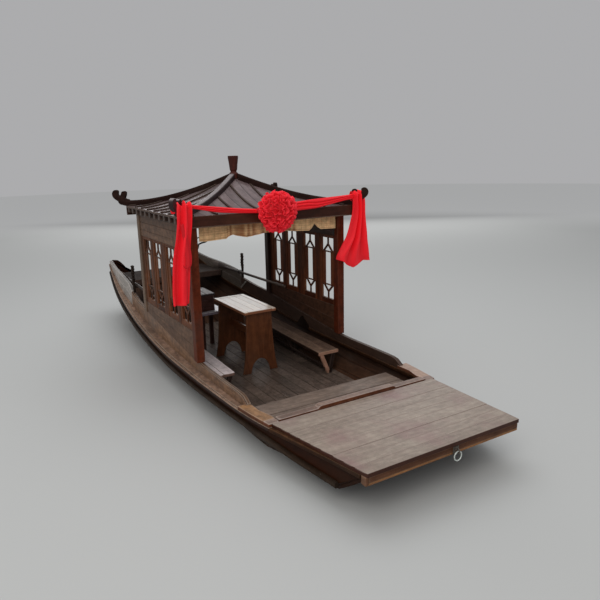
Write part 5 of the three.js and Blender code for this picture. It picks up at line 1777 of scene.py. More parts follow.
        shape.plaque(line, -self.cloud_half, self.cloud_half, board, bevel=3.5, worn=3, tone=0.4)
        # The front starboard ridge takes the pale copy, as painted sheen.
        pale = end is End.FRONT and side is Side.STARBOARD
        shape.build(f"ridge_{end.word}_{side.word}", SHEEN_RIDGE_WOOD if pale else RIDGE_WOOD,
                    replaces=(f"hip_ridge_{end.word}_{side.word}",))

    def finial(self) -> None:
        """A turned cup with flutes: radius from the profile, times 1 + 0.04 cos(16 a) on the cup."""
        profile = np.array([
            (2235.5, 46), (2286, 47), (2294, 43), (2301, 33), (2309, 31), (2320, 37), (2350, 40), (2380, 43),
            (2410, 47), (2440, 51), (2458, 53.5), (2466, 54), (2468.8, 52), (2468, 47), (2452, 40), (2448, 0.5)])
        z, r = drawn(profile, 75)[:, :, None]
        angle = turns(96)
        flute = 1 + 0.04 * np.cos(16 * angle) * np.clip((z - 2315) / 20, 0, 1) * np.clip((2462 - z) / 10, 0, 1)
        x, y = r * flute * np.cos(angle), r * flute * np.sin(angle)
        grid = np.stack([self.mid_x + x, y, np.broadcast_to(z, x.shape)], -1)
        Shape(seed=351).tube(grid, along=z[:, 0]).build("finial_cup", FINIAL_WOOD, replaces=("finial",))

    def build(self) -> None:
        """Makes the roof."""
        for word, along_x, sign in (("front", True, 1), ("rear", True, -1), ("port", False, 1),
                                    ("starboard", False, -1)):
            self.plane(word, along_x, sign)
        for side in Side:
            self.eave(side)
            for end in End:
                self.ridge(end, side)
        self.finial()


# ---- furniture ----


@dataclass
class Furniture:
    """The table, a bench on each side, and the aft seat with its chest."""

    floor: float = 207.4
    table_ends: tuple[float, float] = (-352, 440)
    table_half: float = 186
    table_top: float = 896
    table_thick: float = 30
    table_rail: float = 52
    bench_ends: tuple[float, float] = (-780, 850)
    bench_wide: float = 240
    bench_top: float = 452
    bench_thick: float = 34
    bench_plan: tuple[tuple[tuple[float, float], ...], ...] = (((462, 742), (508, 735)), ((520, 742), (455, 702)))
    leg_x: tuple[float, ...] = (-690.0, 60.0, 832.0)
    lit_end: float = 7
    seat: tuple[float, float] = (679, 713)
    seat_x: tuple[float, float] = (-860, -440)
    seat_y: tuple[float, float] = (-330, -10)
    seat_legs_x: tuple[float, float] = (-844, -500)
    seat_legs_y: tuple[float, float] = (-314, -70)
    seat_leg: float = 44
    seat_rails: tuple[float, ...] = (-800, -500, 640, 678)
    seat_rails_y: tuple[float, float] = (-302, -58)
    chest_seams: tuple[float, ...] = (780, 845, 896)
    lid_x: tuple[float, float] = (-860, -500)
    lid_y: tuple[float, float] = (-320, -110)
    lid_heights: tuple[float, float] = (896.5, 920)
    chest_x: tuple[float, float] = (-852, -508)
    chest_y: tuple[float, float] = (-312, -118)
    chest_board: float = 18

    def table(self) -> None:
        """A framed polished top on two end panels, which have hollow sides and an arch between their feet."""
        (x0, x1), half, top, rail = self.table_ends, self.table_half, self.table_top, self.table_rail
        low, floor = top - self.table_thick, self.floor
        shape = Shape(seed=401)
        long_rails = ((-half, -half + rail), (half - rail, half))
        shape.boards([(x0, x1, *edges, low, top) for edges in long_rails], bevel=3, worn=8, steps=6)
        inner = half - rail - 0.3
        shape.boards([(-inner, inner, x, x + rail, low, top) for x in (x0, x1 - rail)], athwart, bevel=3, worn=8)
        rows = slices(-inner + 0.2, inner - 0.2, 3, 1.0)
        shape.boards([(x0 + rail + 0.5, x1 - rail - 0.5, a, b, low + 2, top - 2) for a, b in rows], bevel=1.5, worn=5,
                     steps=6)
        shape.build("table_top_boards", TABLE_TOP)
        q = np.linspace(0, 1, 24)

        def bend(start: float, middle: float, end: float) -> Array:
            """A curve through three values: start (1 - q)^2 + 2 middle q (1 - q) + end q^2."""
            return start * (1 - q) ** 2 + 2 * middle * q * (1 - q) + end * q**2

        arch, edge = (bend(floor, 346, 362), bend(116, 96, 0)), (bend(floor, 420, low - 0.3), bend(206, 152, 147))
        right = np.concatenate([np.stack(arch, -1)[::-1], np.stack(edge, -1)])
        line = np.concatenate([right, (right * (1, -1))[::-1]])
        body = Shape(seed=402)
        for x in (x0 + 20, x1 - 60):
            body.plaque(line, x, x + 26, crosswise)
        body.boards([(x0 + 46.5, x1 - 60.5, 560, 640, -12, 12)], standing, bevel=3, worn=10, steps=4)
        body.build("table_body", TABLE_WOOD, replaces=("table",))

    def bench(self, side: Side) -> None:
        """Two planks whose edges follow the bench's plan, on three pairs of splayed legs with a rail along them.

        The port bench's front end is lit: its edge and the front leg are a piece of their own, a lighter wood as
        painted light; the other legs' dark wood is painted shade.

        Args:
            side: the bench's side.
        """
        port, sign, (low, top) = side is Side.PORT, side.sign, (self.bench_top - self.bench_thick, self.bench_top)
        plan = np.array(self.bench_plan[port], float)
        (start, stop), wide = self.bench_ends, self.bench_wide

        def edges(s: Array) -> tuple[Array, Array]:
            """The seat's inner and outer edge at x = s."""
            share = (s - start) / (stop - start)
            return tuple(a + (b - a) * share for a, b in plan.T)

        def place(s: Array, t: Array, n: Array) -> Triple:
            """Breadth from the inner edge, at t = 0, to the outer one, at the full width."""
            inner, outer = edges(s)
            return s, sign * (inner + (outer - inner) * t / wide), n

        def beside(s: Array, t: Array, n: Array) -> Triple:
            """t further out than the inner edge."""
            return s, sign * (edges(s)[0] + t), n

        end = stop - self.lit_end if port else stop
        planks = Shape(seed=411 + sign).boards([(start, end, 0, 118, low, top),
                                                (start, end, 119.5, wide, low, top - 1)],
                                               place, bevel=3.5, worn=16, steps=12)
        planks.build(f"bench_planks_{side.word}", BENCH_TOPS[side], replaces=(f"bench_{side.word}",))
        legs, lit_part = Shape(seed=413 + sign), Shape(seed=415)
        for x in self.leg_x:
            inner, outer = edges(x)
            for head, foot in ((inner + 40, inner + 130), (outer - 62, outer - 106)):
                # The port bench's front inner leg takes the lighter wood, as painted light.
                part = lit_part if port and x == self.leg_x[-1] and foot > head else legs
                top_end, foot_end = (x, sign * head, low), (x, sign * foot, self.floor)
                part.boards([(0, math.dist(top_end, foot_end), -16, 16, -20, 20)],
                            bar_between(top_end, foot_end, (0, 1, 0)), bevel=3, worn=10, steps=2)
        legs.boards([(self.leg_x[0], self.leg_x[-1], 79.5, 96.5, 258.5, 291.5)], beside, bevel=2.5, worn=8, steps=8)
        legs.build(f"bench_legs_{side.word}", SHADED_LEG_WOOD)
        if port:
            lit_part.boards([(end + 0.5, stop, 0, wide, low, top - 0.5)], place, bevel=2, worn=4)
            lit_part.build("bench_lit_end_port", LIT_LEG_WOOD)

    def aft_seat(self) -> None:
        """A seat of three boards on four legs, and on it a chest with a lid."""
        spans = [(*self.seat_x, a, b, *self.seat) for a, b in slices(*self.seat_y, 3, 1.5)]
        seat = Shape(seed=421).boards(spans, bevel=3, worn=14, steps=3)
        seat.build("seat_boards", SHEEN_SEAT_WOOD)
        body, leg = Shape(seed=422), self.seat_leg
        for x in self.seat_legs_x:
            for y in self.seat_legs_y:
                body.boards([(self.floor, self.seat[0] - 0.4, x, x + leg, y, y + leg)], upright, bevel=3, worn=10,
                            steps=3)
        body.boards([(*self.seat_rails, y, y + 20) for y in self.seat_rails_y], standing, bevel=2, worn=8)
        (x0, x1), (y0, y1), thick = self.chest_x, self.chest_y, self.chest_board
        feet = (self.seat[1] + 0.4, *(seam + 0.6 for seam in self.chest_seams))
        for a, b in zip(feet, self.chest_seams):
            body.boards([(x0, x1, a, b, y, y + thick) for y in (y0, y1 - thick)], standing, bevel=2, worn=8, steps=2)
            body.boards([(y0 + thick + 0.5, y1 - thick - 0.5, a, b, x, x + thick) for x in (x0, x1 - thick)], facing,
                        bevel=2, worn=8, steps=2)
        body.build("seat_legs_and_chest", CHEST_SIDE_WOOD, replaces=("aft_seat",))
        spans = [(*self.lid_x, a, b, *self.lid_heights) for a, b in slices(*self.lid_y, 2, 1.0)]
        lid = Shape(seed=423).boards(spans, bevel=3, worn=14, steps=3)
        lid.build("chest_lid", CHEST_WOOD)

    def build(self) -> None:
        """Makes the furniture."""
        self.table()
        for side in Side:
            self.bench(side)
        self.aft_seat()


# ---- gear ----


@dataclass
class Gear:
    """The rowlock posts with rope loops and lashings, the oars, a cleat, and the mooring eye and ring at the bow."""

    post_x: float = -1560
    post_y: float = 759
    post_r: float = 16
    post_top: float = 1165
    oar_z: float = 905
    oar_y: float = 716
    splay: float = 0.032
    loop_r: float = 24.6
    rope_r: float = 5.2
    lashing_r: float = 4.6
    lashing_x: tuple[float, float] = (-1592, -1455)
    lashing_z: tuple[float, float] = (684, 786)
    lashing_in: float = 26
    knot_first: float = 995
    knot_pitch: float = 39.6
    cleat_x: tuple[float, ...] = (-149, -9, 132)
    cleat_top: tuple[float, ...] = (474, 615, 524)
    cleat_foot: float = 471
    eye: tuple[float, float, float] = (3174.5, 66, 497)
    eye_r: float = 14.5
    plate: tuple[float, float] = (3150.3, 3156)
    plate_half: float = 26
    bolt_off: float = 17
    ring_r: float = 33
    ring_top: float = 492.3

    def rowlock(self, side: Side) -> None:
        """A knobby post, twisted like a root: r = 16, 19 above the oar, 25 on its knots, with three lobes that turn.

        Args:
            side: which side.
        """
        foot = float(LINES.crest(LINES.COAMING, np.array([self.post_x - 18.0]))[0]) + 0.5
        z = np.linspace(foot, self.post_top, 90)
        knots = 6 * np.maximum(np.cos((z - self.knot_first) / self.knot_pitch * 2 * np.pi), 0) ** 2 * (z > 975)
        knots = knots + 3 * np.clip((z - 940) / 20, 0, 1)
        path = np.stack([self.post_x + 2.0 * np.sin(z / 60), np.full_like(z, side.sign * self.post_y), z], -1)
        radius = (self.post_r + knots) * np.clip((self.post_top + 6 - z) / 16, 0.5, 1)
        post = Shape(seed=501 + side.sign).pipe(path, radius, sides=24, turn=z / 70, lobes=(3, 0.08))
        post.build(f"rowlock_{side.word}", POLE_WOOD, replaces=(f"rowlock_post_{side.word}",))
        loop = circle((self.post_x, side.sign * self.oar_y, self.oar_z), self.loop_r, 96, 0)
        rope = Shape(seed=503 + side.sign).pipe(loop, self.rope_r, ring=True, turn=turns(96) * 8, lobes=(3, 0.12))
        rope.build(f"rowlock_rope_{side.word}", ROPE)

    def lashing(self, side: Side) -> None:
        """Two strokes of rope, side by side, up the coaming's inner face.

        Args:
            side: which side.
        """
        x, z = (np.linspace(*ends, 40) for ends in (self.lashing_x, self.lashing_z))
        lash = Shape(seed=505 + side.sign)
        y = LINES.plan(LINES.COAMING, x) - self.lashing_in + 1.5 * np.sin(x / 9)
        for shift in (0, 9):
            lash.pipe(np.stack([x + shift, side.sign * y, z - shift], -1), self.lashing_r, sides=10, turn=x / 12,
                      lobes=(3, 0.15))
        lash.build(f"rowlock_lashing_{side.word}", PALE_ROPE)

    def oar(self, side: Side) -> None:
        """A round pole that flattens into a blade: half-thickness a and half-height b, in an oval section.

        Args:
            side: which side.
        """
        rows = np.array([
            (-360, 9, 9), (-363, 14, 14), (-369, 16.6, 16.6), (-900, 17, 17), (-1500, 16.9, 16.9), (-1620, 16.9, 16.9),
            (-1900, 16, 16), (-1950, 15.5, 16.5), (-2010, 13, 23), (-2060, 11.5, 30), (-2140, 10, 36), (-2250, 9, 40),
            (-2400, 8, 41), (-2440, 7.5, 38), (-2448, 4, 34)])
        x, a, b = drawn(rows, 110)[:, :, None]
        angle = turns(24)
        y = side.sign * (self.oar_y + self.splay * (x - self.post_x)) + a * np.cos(angle)
        grid = np.stack([np.broadcast_to(x, y.shape), y, self.oar_z + b * np.sin(angle)], -1)
        tone = np.repeat(np.clip((x[:, 0] + 1300) / 500, 0, 1.4) - 0.1, len(angle))
        pole = Shape(seed=511 + side.sign).tube(grid, along=-x[:, 0], tone=tone, edge=np.broadcast_to(a < 9.1, y.shape))
        pole.build(f"oar_{side.word}_pole", OAR_WOOD, body=f"oar_{side.word}", replaces=(f"oar_{side.word}",))

    def cleat(self) -> None:
        """A three-cornered cleat against the port coaming, behind the bench, highest near its middle."""
        x, foot = np.linspace(self.cleat_x[0], self.cleat_x[-1], 30)[:, None], self.cleat_foot
        y = LINES.plan(LINES.COAMING, x) - 21 + np.array([-17.0, 0, 0, -11])
        z = foot + (np.interp(x, self.cleat_x, self.cleat_top) - foot) * np.array([0, 0, 1, 1])
        grid = np.stack([np.broadcast_to(x, y.shape), y, z], -1)
        Shape(seed=531).tube(grid, tone=0.4).build("coaming_cleat", CLEAT_WOOD)

    def mooring(self) -> None:
        """An eye plate with four bolts, its eye, and the ring that hangs in it."""
        (x, y, z), half, off = self.eye, self.plate_half, self.bolt_off
        shape = Shape(seed=521).boards([(y - half, y + half, z - half, z + half, *self.plate)], facing, bevel=1.5,
                                       worn=3)
        bolts = [((3156, 3158.4, 3159.2), dy, dz, (4.6, 4.2, 2.2), 12) for dy in (-off, off) for dz in (-off, off)]
        for xs, dy, dz, radii, sides in (*bolts, ((3156.2, 3160, 3164), 0, 0, (8, 6, 6.2), 16)):
            shape.pipe(np.array([(at, y + dy, z + dz) for at in xs]), np.array(radii), sides=sides)
        shape.pipe(circle(self.eye, self.eye_r, 48, 1), 4.4, sides=14, ring=True)
        shape.build("mooring_eye_plate", DULL_ZINC, replaces=("mooring_eye",))
        middle = (x, y, self.ring_top - self.ring_r)
        ring = Shape(seed=522).pipe(circle(middle, self.ring_r, 48, 0), 4.9, sides=16, ring=True)
        ring.build("mooring_ring_bar", ZINC, body="mooring_ring", replaces=("mooring_ring",))

    def build(self) -> None:
        """Makes the gear."""
        for side in Side:
            self.rowlock(side)
            self.lashing(side)
            self.oar(side)
        self.mooring()
        self.cleat()


# ---- soft pieces ----


@dataclass
class Blind:
    """A bamboo blind under the front beam, drawn up: flat at both sides, bunched in folds between them."""

    x: float = 725
    left: float = -734
    right: float = 759
    top: float = 1849.5
    low: float = 1716
    half_thick: float = 1.5
    slat: float = 6.0
    bunch: tuple[float, float] = (-460, 305)
    threads: tuple[float, ...] = (-690, -640, -585, -530, -480, 345, 400, 455, 590, 645, 700)
    foot: tuple[tuple[float, float], ...] = (
        (-735, 1716), (-650, 1712), (-464, 1720), (-445, 1738), (-400, 1752), (-360, 1738), (-300, 1724), (-256, 1716),
        (-190, 1722), (-94, 1736), (0, 1745), (150, 1740), (300, 1728), (440, 1720), (468, 1742), (503, 1784),
        (545, 1745), (580, 1724), (759, 1718))

    def build(self) -> None:
        """x = middle + folds(y) + a half-round per slat; the foot follows a scalloped line."""
        start, end = self.bunch
        y = np.concatenate([np.linspace(self.left, start, 40), np.linspace(start + 5, end - 5, 250),
                            np.linspace(end, self.right, 60)])[:, None]
        foot_y, foot_z = np.array(self.foot, float).T
        bunched = np.clip((y + 470) / 25, 0, 1) * np.clip((320 - y) / 30, 0, 1)
        fold = bunched * 5.2 * np.sin(2 * np.pi * (y / 58 + 0.7 * np.sin(y / 83) + 0.4 * np.sin(y / 37)))
        count = int((self.top - self.low) / self.slat)
        v = np.linspace(0, 1, count * 6 + 1)
        z = self.top + (np.interp(y, foot_y, foot_z) - self.top) * v
        bead = 1.6 * abs(np.sin(np.pi * count * v))
        hang = 1.2 * np.sin(v * 5 + y / 170)
        front, back = (self.x + sign * self.half_thick + fold * (0.4 + 0.6 * v) + sign * bead + hang
                       for sign in (1, -1))
        front, back = (np.stack([face, np.broadcast_to(y, z.shape), z], -1) for face in (front, back))
        shape = Shape(seed=601).tube(np.concatenate([front, back[:, ::-1]], 1), along=y[:, 0])
        slats = shape.rng.random(count + 1)[np.floor(count * v).astype(int)]
        # Painted shade: darker over the bunched middle and where each fold falls back; the slats' own tones differ at
        # random.
        tone = 0.62 - 0.3 * bunched + 0.05 * fold + 0.5 * (slats - 0.5)
        shape.tones[-1] = np.concatenate([tone, tone[:, ::-1]], 1).reshape(-1)
        for line in self.threads:
            low = float(np.interp(line, foot_y, foot_z))
            path = np.linspace((self.x + 4.4, line, self.top - 1), (self.x + 4.4, line, low + 1), 30)
            shape.pipe(path, 0.9, sides=6, tone=0.0)
        shape.build("bamboo_mat", BAMBOO, replaces=("bamboo_blind",), crease=50)


@dataclass
class Sash:
    """A red satin sash: a ruffled flower on the eave board, a swag to each corner and a hanging end on each."""

    flower: tuple[float, float, float] = (925, -24, 1955)
    radii: tuple[float, float, float] = (104, 205, 203)
    heart_share: float = 0.74
    board_face: float = 835  # the eave board's front
    petals: int = 180
    petal_half: float = 12
    petal_flare: float = 25
    wrap_radius: float = 26
    thread: float = 0.7

    def cloth(self, shape: Shape, name: str,
              finish: Cloth = RED_SATIN, replaces: tuple[str, ...] = ()) -> None:
        """Makes a sheet of cloth with its own thickness.

        Args:
            shape: the folded sheet.
            name: the piece's name.
            finish: its satin.
            replaces: the CAD nodes that it stands for.
        """
        piece = shape.build(name, finish, crease=180, replaces=replaces)
        mod = piece.modifiers.new("cloth_thickness", "SOLIDIFY")
        mod.thickness, mod.offset, mod.use_even_offset = self.thread * MM, 0, False

    def swag(self, side: Side, rows: Array) -> None:
        """A gathered band: up behind, over the top and down in front in three long soft rolls.

        Args:
            side: which side it runs to.
            rows: y, top, foot, x of the back.
        """
        u = np.linspace(0, 1, 90)
        at = np.linspace(0, 1, len(rows))
        y, top, foot, back = (fair(at, rows[:, k], u) for k in range(4))
        v = np.linspace(0, 1, 96)
        span = np.clip((v - 0.3) / 0.62, 0, 1)
        height = np.where(v < 0.27, v / 0.27, np.where(v < 0.3, 1, 1 - span))
        height = height * 0.94 + 0.03
        drift = 0.9 * np.sin(2.2 * u[:, None] * np.pi + side.sign) + 0.25 * np.sin(9 * u[:, None])
        rolls = abs(np.sin(np.pi * (3 * span + 0.25 * drift * np.sin(np.pi * span)))) ** 0.75
        face = 9 + 15 * rolls * np.sin(np.pi * np.clip(span, 0.06, 0.97)) ** 0.3
        depth = np.where(v < 0.27, 1.5, np.where(v < 0.3, 6, face))
        crease = 1.5 * np.sin(14 * span + 6 * u[:, None]) * np.sin(np.pi * span)
        z = foot[:, None] + (top - foot)[:, None] * height
        x = back[:, None] + depth + crease
        ys = np.broadcast_to(y[:, None], z.shape)
        # Painted shade: the rolls' hollows are darker than their crests.
        tone = 0.35 + 0.5 * rolls
        grid = np.stack([x, ys, z], -1)
        self.cloth(Shape(seed=611 + side.sign).sheet(grid, (700, 260), tone), f"sash_swag_{side.word}")

    def tail(self, side: Side, rows: Array, pleats: float, flat_wide: float, hem: Array) -> None:
        """A hanging end: over the ridge and down, in pleats that open towards the foot.

        The middle line runs through the rows. Across it the cloth swings by a sin(2 pi pleats u), with a
        chosen at each row so that the cloth's own width stays the same from top to foot.

        Args:
            side: which side it hangs on.
            rows: x, z, the two edges' y.
            pleats: number of pleats.
            flat_wide: the cloth's own width.
            hem: how much lower each place across the foot hangs, from edge to edge.
        """
        dense = np.linspace(0, len(rows) - 1, 150)
        x, z, y0, y1 = (fair(np.arange(len(rows), dtype=float), rows[:, k], dense) for k in range(4))
        line = np.stack([x, z], -1)
        along = np.gradient(line, axis=0)
        along /= np.linalg.norm(along, axis=1, keepdims=True)
        out = np.stack([-along[:, 1], along[:, 0]], -1)
        u = np.linspace(0, 1, 140)
        down = np.linspace(0, 1, len(x))[:, None]
        width = abs(y1 - y0)
        folds = pleats * (1 + 0.7 * (1 - down[:, 0]) ** 2)
        rise = np.sqrt(np.maximum((flat_wide * 0.93) ** 2 - width**2, 0)) / folds / 4
        sway = u + 0.018 * np.sin(2 * np.pi * (1.3 * u + 0.8 * down))
        sway = sway + 0.012 * np.sin(2 * np.pi * (2.7 * u - 1.4 * down))
        wave = np.sin(2 * np.pi * folds[:, None] * (sway - 0.5) + 0.7 * np.sin(3 * down))
        lift = rise[:, None] * wave * (1 - 0.25 * np.sin(7 * u + 3 * down))
        crumple = 2.0 * np.sin(17 * u + 9 * down) * np.sin(23 * down + 4 * u) * np.clip(down * 3 - 0.6, 0, 1)
        lift = lift + crumple
        lowered = np.interp(u, np.linspace(0, 1, len(hem)), hem) * np.clip((down - 0.45) / 0.55, 0, 1) ** 1.5
        grid = np.stack([x[:, None] + lift * out[:, 0:1], y0[:, None] + (y1 - y0)[:, None] * u,
                         z[:, None] + lift * out[:, 1:2] - lowered], -1)
        # Painted shade: each pleat is lighter on the face that looks one way and darker on the other.
        tone = 0.75 + 0.25 * wave * np.sign(out[:, 0:1])
        self.cloth(Shape(seed=621 + side.sign).sheet(grid, (1000, flat_wide), tone), f"sash_end_{side.word}",
                   replaces=(f"sash_{side.word}",))

    def ruffles(self) -> None:
        """The flower: petals on a golden spiral over an oval, each a strip that waves more towards its tip.

        A petal's point is centre + radii times the direction times the depth, plus the tangent times the
        width, plus the other tangent times a wave.
        """
        rng = np.random.default_rng(631)
        k = np.arange(self.petals) + 0.5
        polar, turn = np.arccos(1 - 2 * k / self.petals), np.pi * (1 + 5**0.5) * k
        heading = np.stack([np.cos(polar), np.sin(polar) * np.cos(turn), np.sin(polar) * np.sin(turn)], -1)
        radii = np.array(self.radii)
        lead = rng.normal(size=heading.shape)
        one = np.cross(heading, lead)
        one /= np.linalg.norm(one, axis=1, keepdims=True)
        two = np.cross(heading, one)
        u, v = np.linspace(0, 1, 5), np.linspace(-1, 1, 10)
        phase = rng.random((self.petals, 1, 1)) * 2 * np.pi
        waves = 0.8 + rng.random((self.petals, 1, 1)) * 0.7
        reach = 0.9 + 0.14 * rng.random((self.petals, 1, 1))
        uu, vv = u[None, :, None], v[None, None, :]
        depth = 0.66 + (reach - 0.66) * uu * (1 - 0.3 * vv**2) + 0.02 * np.sin(5 * vv + phase) * uu
        half = self.petal_half + self.petal_flare * uu
        wave = (4 + 15 * uu) * np.sin(waves * np.pi * vv + phase)
        lean = (rng.random((self.petals, 1, 1)) - 0.5) * 34 * uu
        grid = (np.array(self.flower) + radii * heading[:, None, None] * depth[..., None]
                + one[:, None, None] * (half * vv)[..., None] + two[:, None, None] * (wave + lean)[..., None])
        grid[..., 0] = np.maximum(grid[..., 0], self.board_face + 1)
        shape, area = Shape(seed=632), 0.0
        # Painted shade and highlight: each petal darkens towards its root, deep in the flower, and lightens to the
        # pinker light colour at its tip.
        tone = np.broadcast_to(0.05 + 0.95 * u[:, None] ** 1.7, uu.shape[1:2] + vv.shape[2:])
        for petal in grid:
            shape.sheet(petal, (60, 80), tone)
            a, b = petal[1:, :-1] - petal[:-1, :-1], petal[:-1, 1:] - petal[:-1, :-1]
            area += np.linalg.norm(np.cross(a, b), axis=-1).sum() * MM**2
        self.cloth(shape, "sash_flower_ruffles",
                   FLOWER_SATIN, ("sash_flower",))

    def heart(self) -> None:
        """The flower's padded middle: a dented ball, its radius times 1 + 0.03 sin(9 polar + 3 turn)."""
        polar, turn = np.linspace(0.02, np.pi - 0.02, 24)[:, None], turns(40)
        ball = np.stack([np.cos(polar) + 0 * turn, np.sin(polar) * np.cos(turn), np.sin(polar) * np.sin(turn)], -1)
        size = np.array(self.radii) * self.heart_share
        core = np.array(self.flower) + size * ball * (1 + 0.03 * np.sin(9 * polar + 3 * turn))[..., None]
        core[..., 0] = np.maximum(core[..., 0], self.board_face)
        # Its low tone is painted shade, deep among the petals.
        heart = Shape(seed=633).tube(core, tone=0.1).build("sash_flower_heart", RED_SATIN, crease=180)

    def knots(self) -> None:
        """The wraps over the ridge ends: a bunched roll, its section a wavy oval, bent over the ridge."""
        for side, start, end in ((Side.STARBOARD, (846, -985, 1998), (862, -1018, 2018)),
                                 (Side.PORT, (850, 905, 2046), (862, 985, 2052))):
            u = np.linspace(0, 1, 28)
            p0, p1 = np.array(start, float), np.array(end, float)
            path = p0 + (p1 - p0) * u[:, None] + np.array([0, 0, 10.0]) * np.sin(np.pi * u)[:, None]
            radius = self.wrap_radius * (0.35 + 0.65 * np.sin(np.pi * np.clip(u, 0.04, 0.96)) ** 0.6)
            shape = Shape(seed=641 + side.sign)
            shape.pipe(path, radius, sides=40, turn=1.6 * u, lobes=(6, 0.12), tone=0.6)
            shape.build(f"sash_knot_{side.word}", RED_SATIN, crease=180)

    def loop(self) -> None:
        """A narrow darker loop that hangs in front of the starboard end: a folded strip, down and back up."""
        u = np.linspace(0, 1, 90)
        z = 1905 - 385 * np.sin(np.pi * np.clip(u * 0.62, 0, 1)) ** 0.9
        y = -938 + 26 * np.sin(np.pi * u * 0.9) + 10 * np.sin(5 * u)
        x = 884 + 6 * np.sin(np.pi * u) + 9 * u
        v = np.linspace(-1, 1, 24)
        half = 20 + 10 * np.sin(np.pi * u)[:, None]
        grid = np.stack([x[:, None] + 6 * np.cos(np.pi * v), y[:, None] + half * v,
                         z[:, None] + 5 * np.cos(2 * np.pi * v)], -1)
        # Its low tone is painted shade of an inner fold.
        shape = Shape(seed=651).sheet(grid, (700, 110), 0.12)
        self.cloth(shape, "sash_loop")

    def build(self) -> None:
        """Makes the flower, the swags, the knots and the ends."""
        self.ruffles()
        self.heart()
        self.swag(Side.STARBOARD, np.array([(-915, 2074, 2040, 838), (-828, 2059, 2027, 837), (-605, 2032, 1979, 836),
                                            (-411, 2007, 1959, 835), (-190, 1985, 1944, 835)], float))
        self.swag(Side.PORT, np.array([(190, 2026, 1936, 835), (350, 2038, 1943, 835), (496, 2047, 1954, 836),
                                       (796, 2060, 2005, 837), (900, 2068, 2012, 838)], float))
        self.knots()
        self.tail(Side.STARBOARD, np.array([
            (806, 1990, -950, -880), (808, 2045, -962, -862), (836, 2076, -972, -846), (868, 2058, -978, -842),
            (874, 2000, -985, -842), (872, 1900, -990, -846), (870, 1772, -1009, -860), (868, 1602, -1045, -875),
            (866, 1340, -1070, -898), (866, 1196, -1072, -914)], float), 1.6, 235, np.array([0, 8, 14, 10, 16, 4.0]))
        self.tail(Side.PORT, np.array([
            (808, 1996, 890, 985), (810, 2045, 884, 1000), (838, 2072, 880, 1012), (868, 2056, 880, 1024),
            (874, 2000, 882, 1026), (872, 1855, 880, 1028), (870, 1656, 822, 1050), (868, 1560, 772, 1058),
            (866, 1430, 688, 1082), (866, 1374, 676, 1092)], float), 2.6, 465, np.array([-44, -20, 30, 62, 28, 0, 4.0]))
        self.loop()


# ---- studio ----


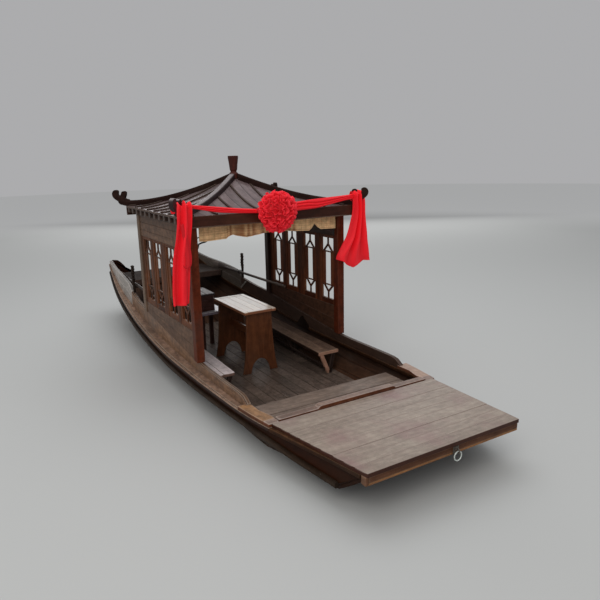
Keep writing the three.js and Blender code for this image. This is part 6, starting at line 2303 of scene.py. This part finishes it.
@dataclass
class Studio:
    """The camera at the photograph's angle, a pale floor at the waterline and soft light."""

    place: tuple[float, float, float] = (5.69597, -2.65884, 2.45190)
    yaw: float = 0.53910
    pitch: float = 0.24265
    roll: float = -0.02225
    focal_px: float = 582.2
    frame_px: float = 600
    sensor: float = 36
    water: float = 185
    sky: float = 0.42
    sky_colour: tuple[float, ...] = (0.98, 0.98, 1.0, 1)
    floor_colour: tuple[float, ...] = (0.55, 0.56, 0.55, 1)
    floor_x: tuple[float, float] = (-2260, 2395)
    floor_reach: float = 40000
    fill: float = 0.15
    fill_from: float = 13.5
    fill_to: float = 19
    aim: tuple[float, float, float] = (0, 0, 0.8)
    lamps: tuple[tuple, ...] = (
        ("key", (7.0, -6.0, 7.5), (6.0, 6.0), 300, (1.0, 0.97, 0.93)),
        ("top", (-0.5, 0.5, 9.0), (9.0, 9.0), 330, (0.97, 0.98, 1.0)),
        ("rear", (-12.0, 7.2, 4.6), (16.0, 5.0), 420, (1.0, 1.0, 1.0)))

    def camera(self) -> None:
        """Looks along f = (-cos yaw cos pitch, sin yaw cos pitch, -sin pitch), then rolls about it."""
        f = Vector((-math.cos(self.yaw) * math.cos(self.pitch), math.sin(self.yaw) * math.cos(self.pitch),
                    -math.sin(self.pitch)))
        r = Vector((math.sin(self.yaw), math.cos(self.yaw), 0))
        u = r.cross(f)
        right = math.cos(self.roll) * r + math.sin(self.roll) * u
        up = -math.sin(self.roll) * r + math.cos(self.roll) * u
        data = bpy.data.cameras.new("view")
        data.sensor_width = self.sensor
        data.lens = self.focal_px / self.frame_px * self.sensor
        data.clip_start, data.clip_end = 0.05, 200
        camera = bpy.data.objects.new("view", data)
        camera.matrix_world = Matrix((right, up, -f)).transposed().to_4x4()
        camera.location = self.place
        bpy.context.scene.collection.objects.link(camera)
        bpy.context.scene.camera = camera

    def floor(self) -> None:
        """A flat ring at the waterline, its inner edge inside the planking; far off it glows, to meet the sky."""
        x = np.linspace(*self.floor_x, 80)
        (low_y, low_z), (high_y, high_z) = LINES.chine(x), LINES.knuckle(x)
        share = np.clip((self.water - low_z) / (high_z - low_z), 0, 1)
        half = low_y + (high_y - low_y) * share - 14
        inner = np.concatenate([np.stack([x, half], -1), np.stack([x, -half], -1)[::-1]])
        angle = np.arctan2(inner[:, 1], inner[:, 0])
        outer = self.floor_reach * np.stack([np.cos(angle), np.sin(angle)], -1)
        grid = np.stack([inner * (1 - w) + outer * w for w in (0, 0.01, 0.1, 1)])
        points = np.concatenate([grid, np.full((*grid.shape[:2], 1), self.water)], -1) * MM
        mesh = bpy.data.meshes.new("floor")
        mesh.from_pydata(points.reshape(-1, 3), [], lattice(*grid.shape[:2])[2][:, (0, 3, 2, 1)].tolist())
        material = bpy.data.materials.new("pale_floor")
        material.use_nodes = True
        shader = material.node_tree.nodes["Principled BSDF"]
        for label, value in (("Base Color", self.floor_colour), ("Roughness", 0.9), ("Specular IOR Level", 0.0),
                             ("Emission Strength", self.fill)):
            shader.inputs[label].default_value = value
        t = Tree(material.node_tree)
        away = t.add("VectorMath", {0: t.add("TexCoord").outputs["Object"]}, operation="LENGTH").outputs["Value"]
        glow = t.mix(t.ramp(away, self.fill_from, self.fill_to), (0, 0, 0, 1), self.sky_colour)
        material.node_tree.links.new(glow, shader.inputs["Emission Color"])
        mesh.materials.append(material)
        floor = bpy.data.objects.new("floor", mesh)
        bpy.context.scene.collection.objects.link(floor)

    def lights(self) -> None:
        """An even sky, a soft light ahead to starboard, one above, and a low one behind for the sheen."""
        world = bpy.data.worlds.new("sky")
        world.use_nodes = True
        background = world.node_tree.nodes["Background"]
        background.inputs["Color"].default_value = self.sky_colour
        background.inputs["Strength"].default_value = self.sky
        bpy.context.scene.world = world
        for name, place, size, power, colour in self.lamps:
            data = bpy.data.lights.new(name, "AREA")
            data.shape = "RECTANGLE"
            (data.size, data.size_y), data.energy, data.color = size, power, colour
            light = bpy.data.objects.new(name, data)
            light.visible_camera = False
            light.location = place
            light.rotation_mode = "QUATERNION"
            light.rotation_quaternion = (Vector(self.aim) - Vector(place)).to_track_quat("-Z", "Y")
            bpy.context.scene.collection.objects.link(light)

    def build(self) -> None:
        """Makes the camera first, then the rest."""
        bpy.context.scene.view_settings.view_transform = "Standard"
        self.camera()
        self.floor()
        self.lights()


def main() -> None:
    """Builds the studio and the boat's sub-assemblies in order."""
    logging.basicConfig(level=logging.INFO, format="%(message)s")
    for part in (Studio(), Hull(), Decks(), StandingBoards(), Cabin(), Roof(), Furniture(), Gear(), Blind(), Sash()):
        part.build()


if __name__ == "__main__":
    main()
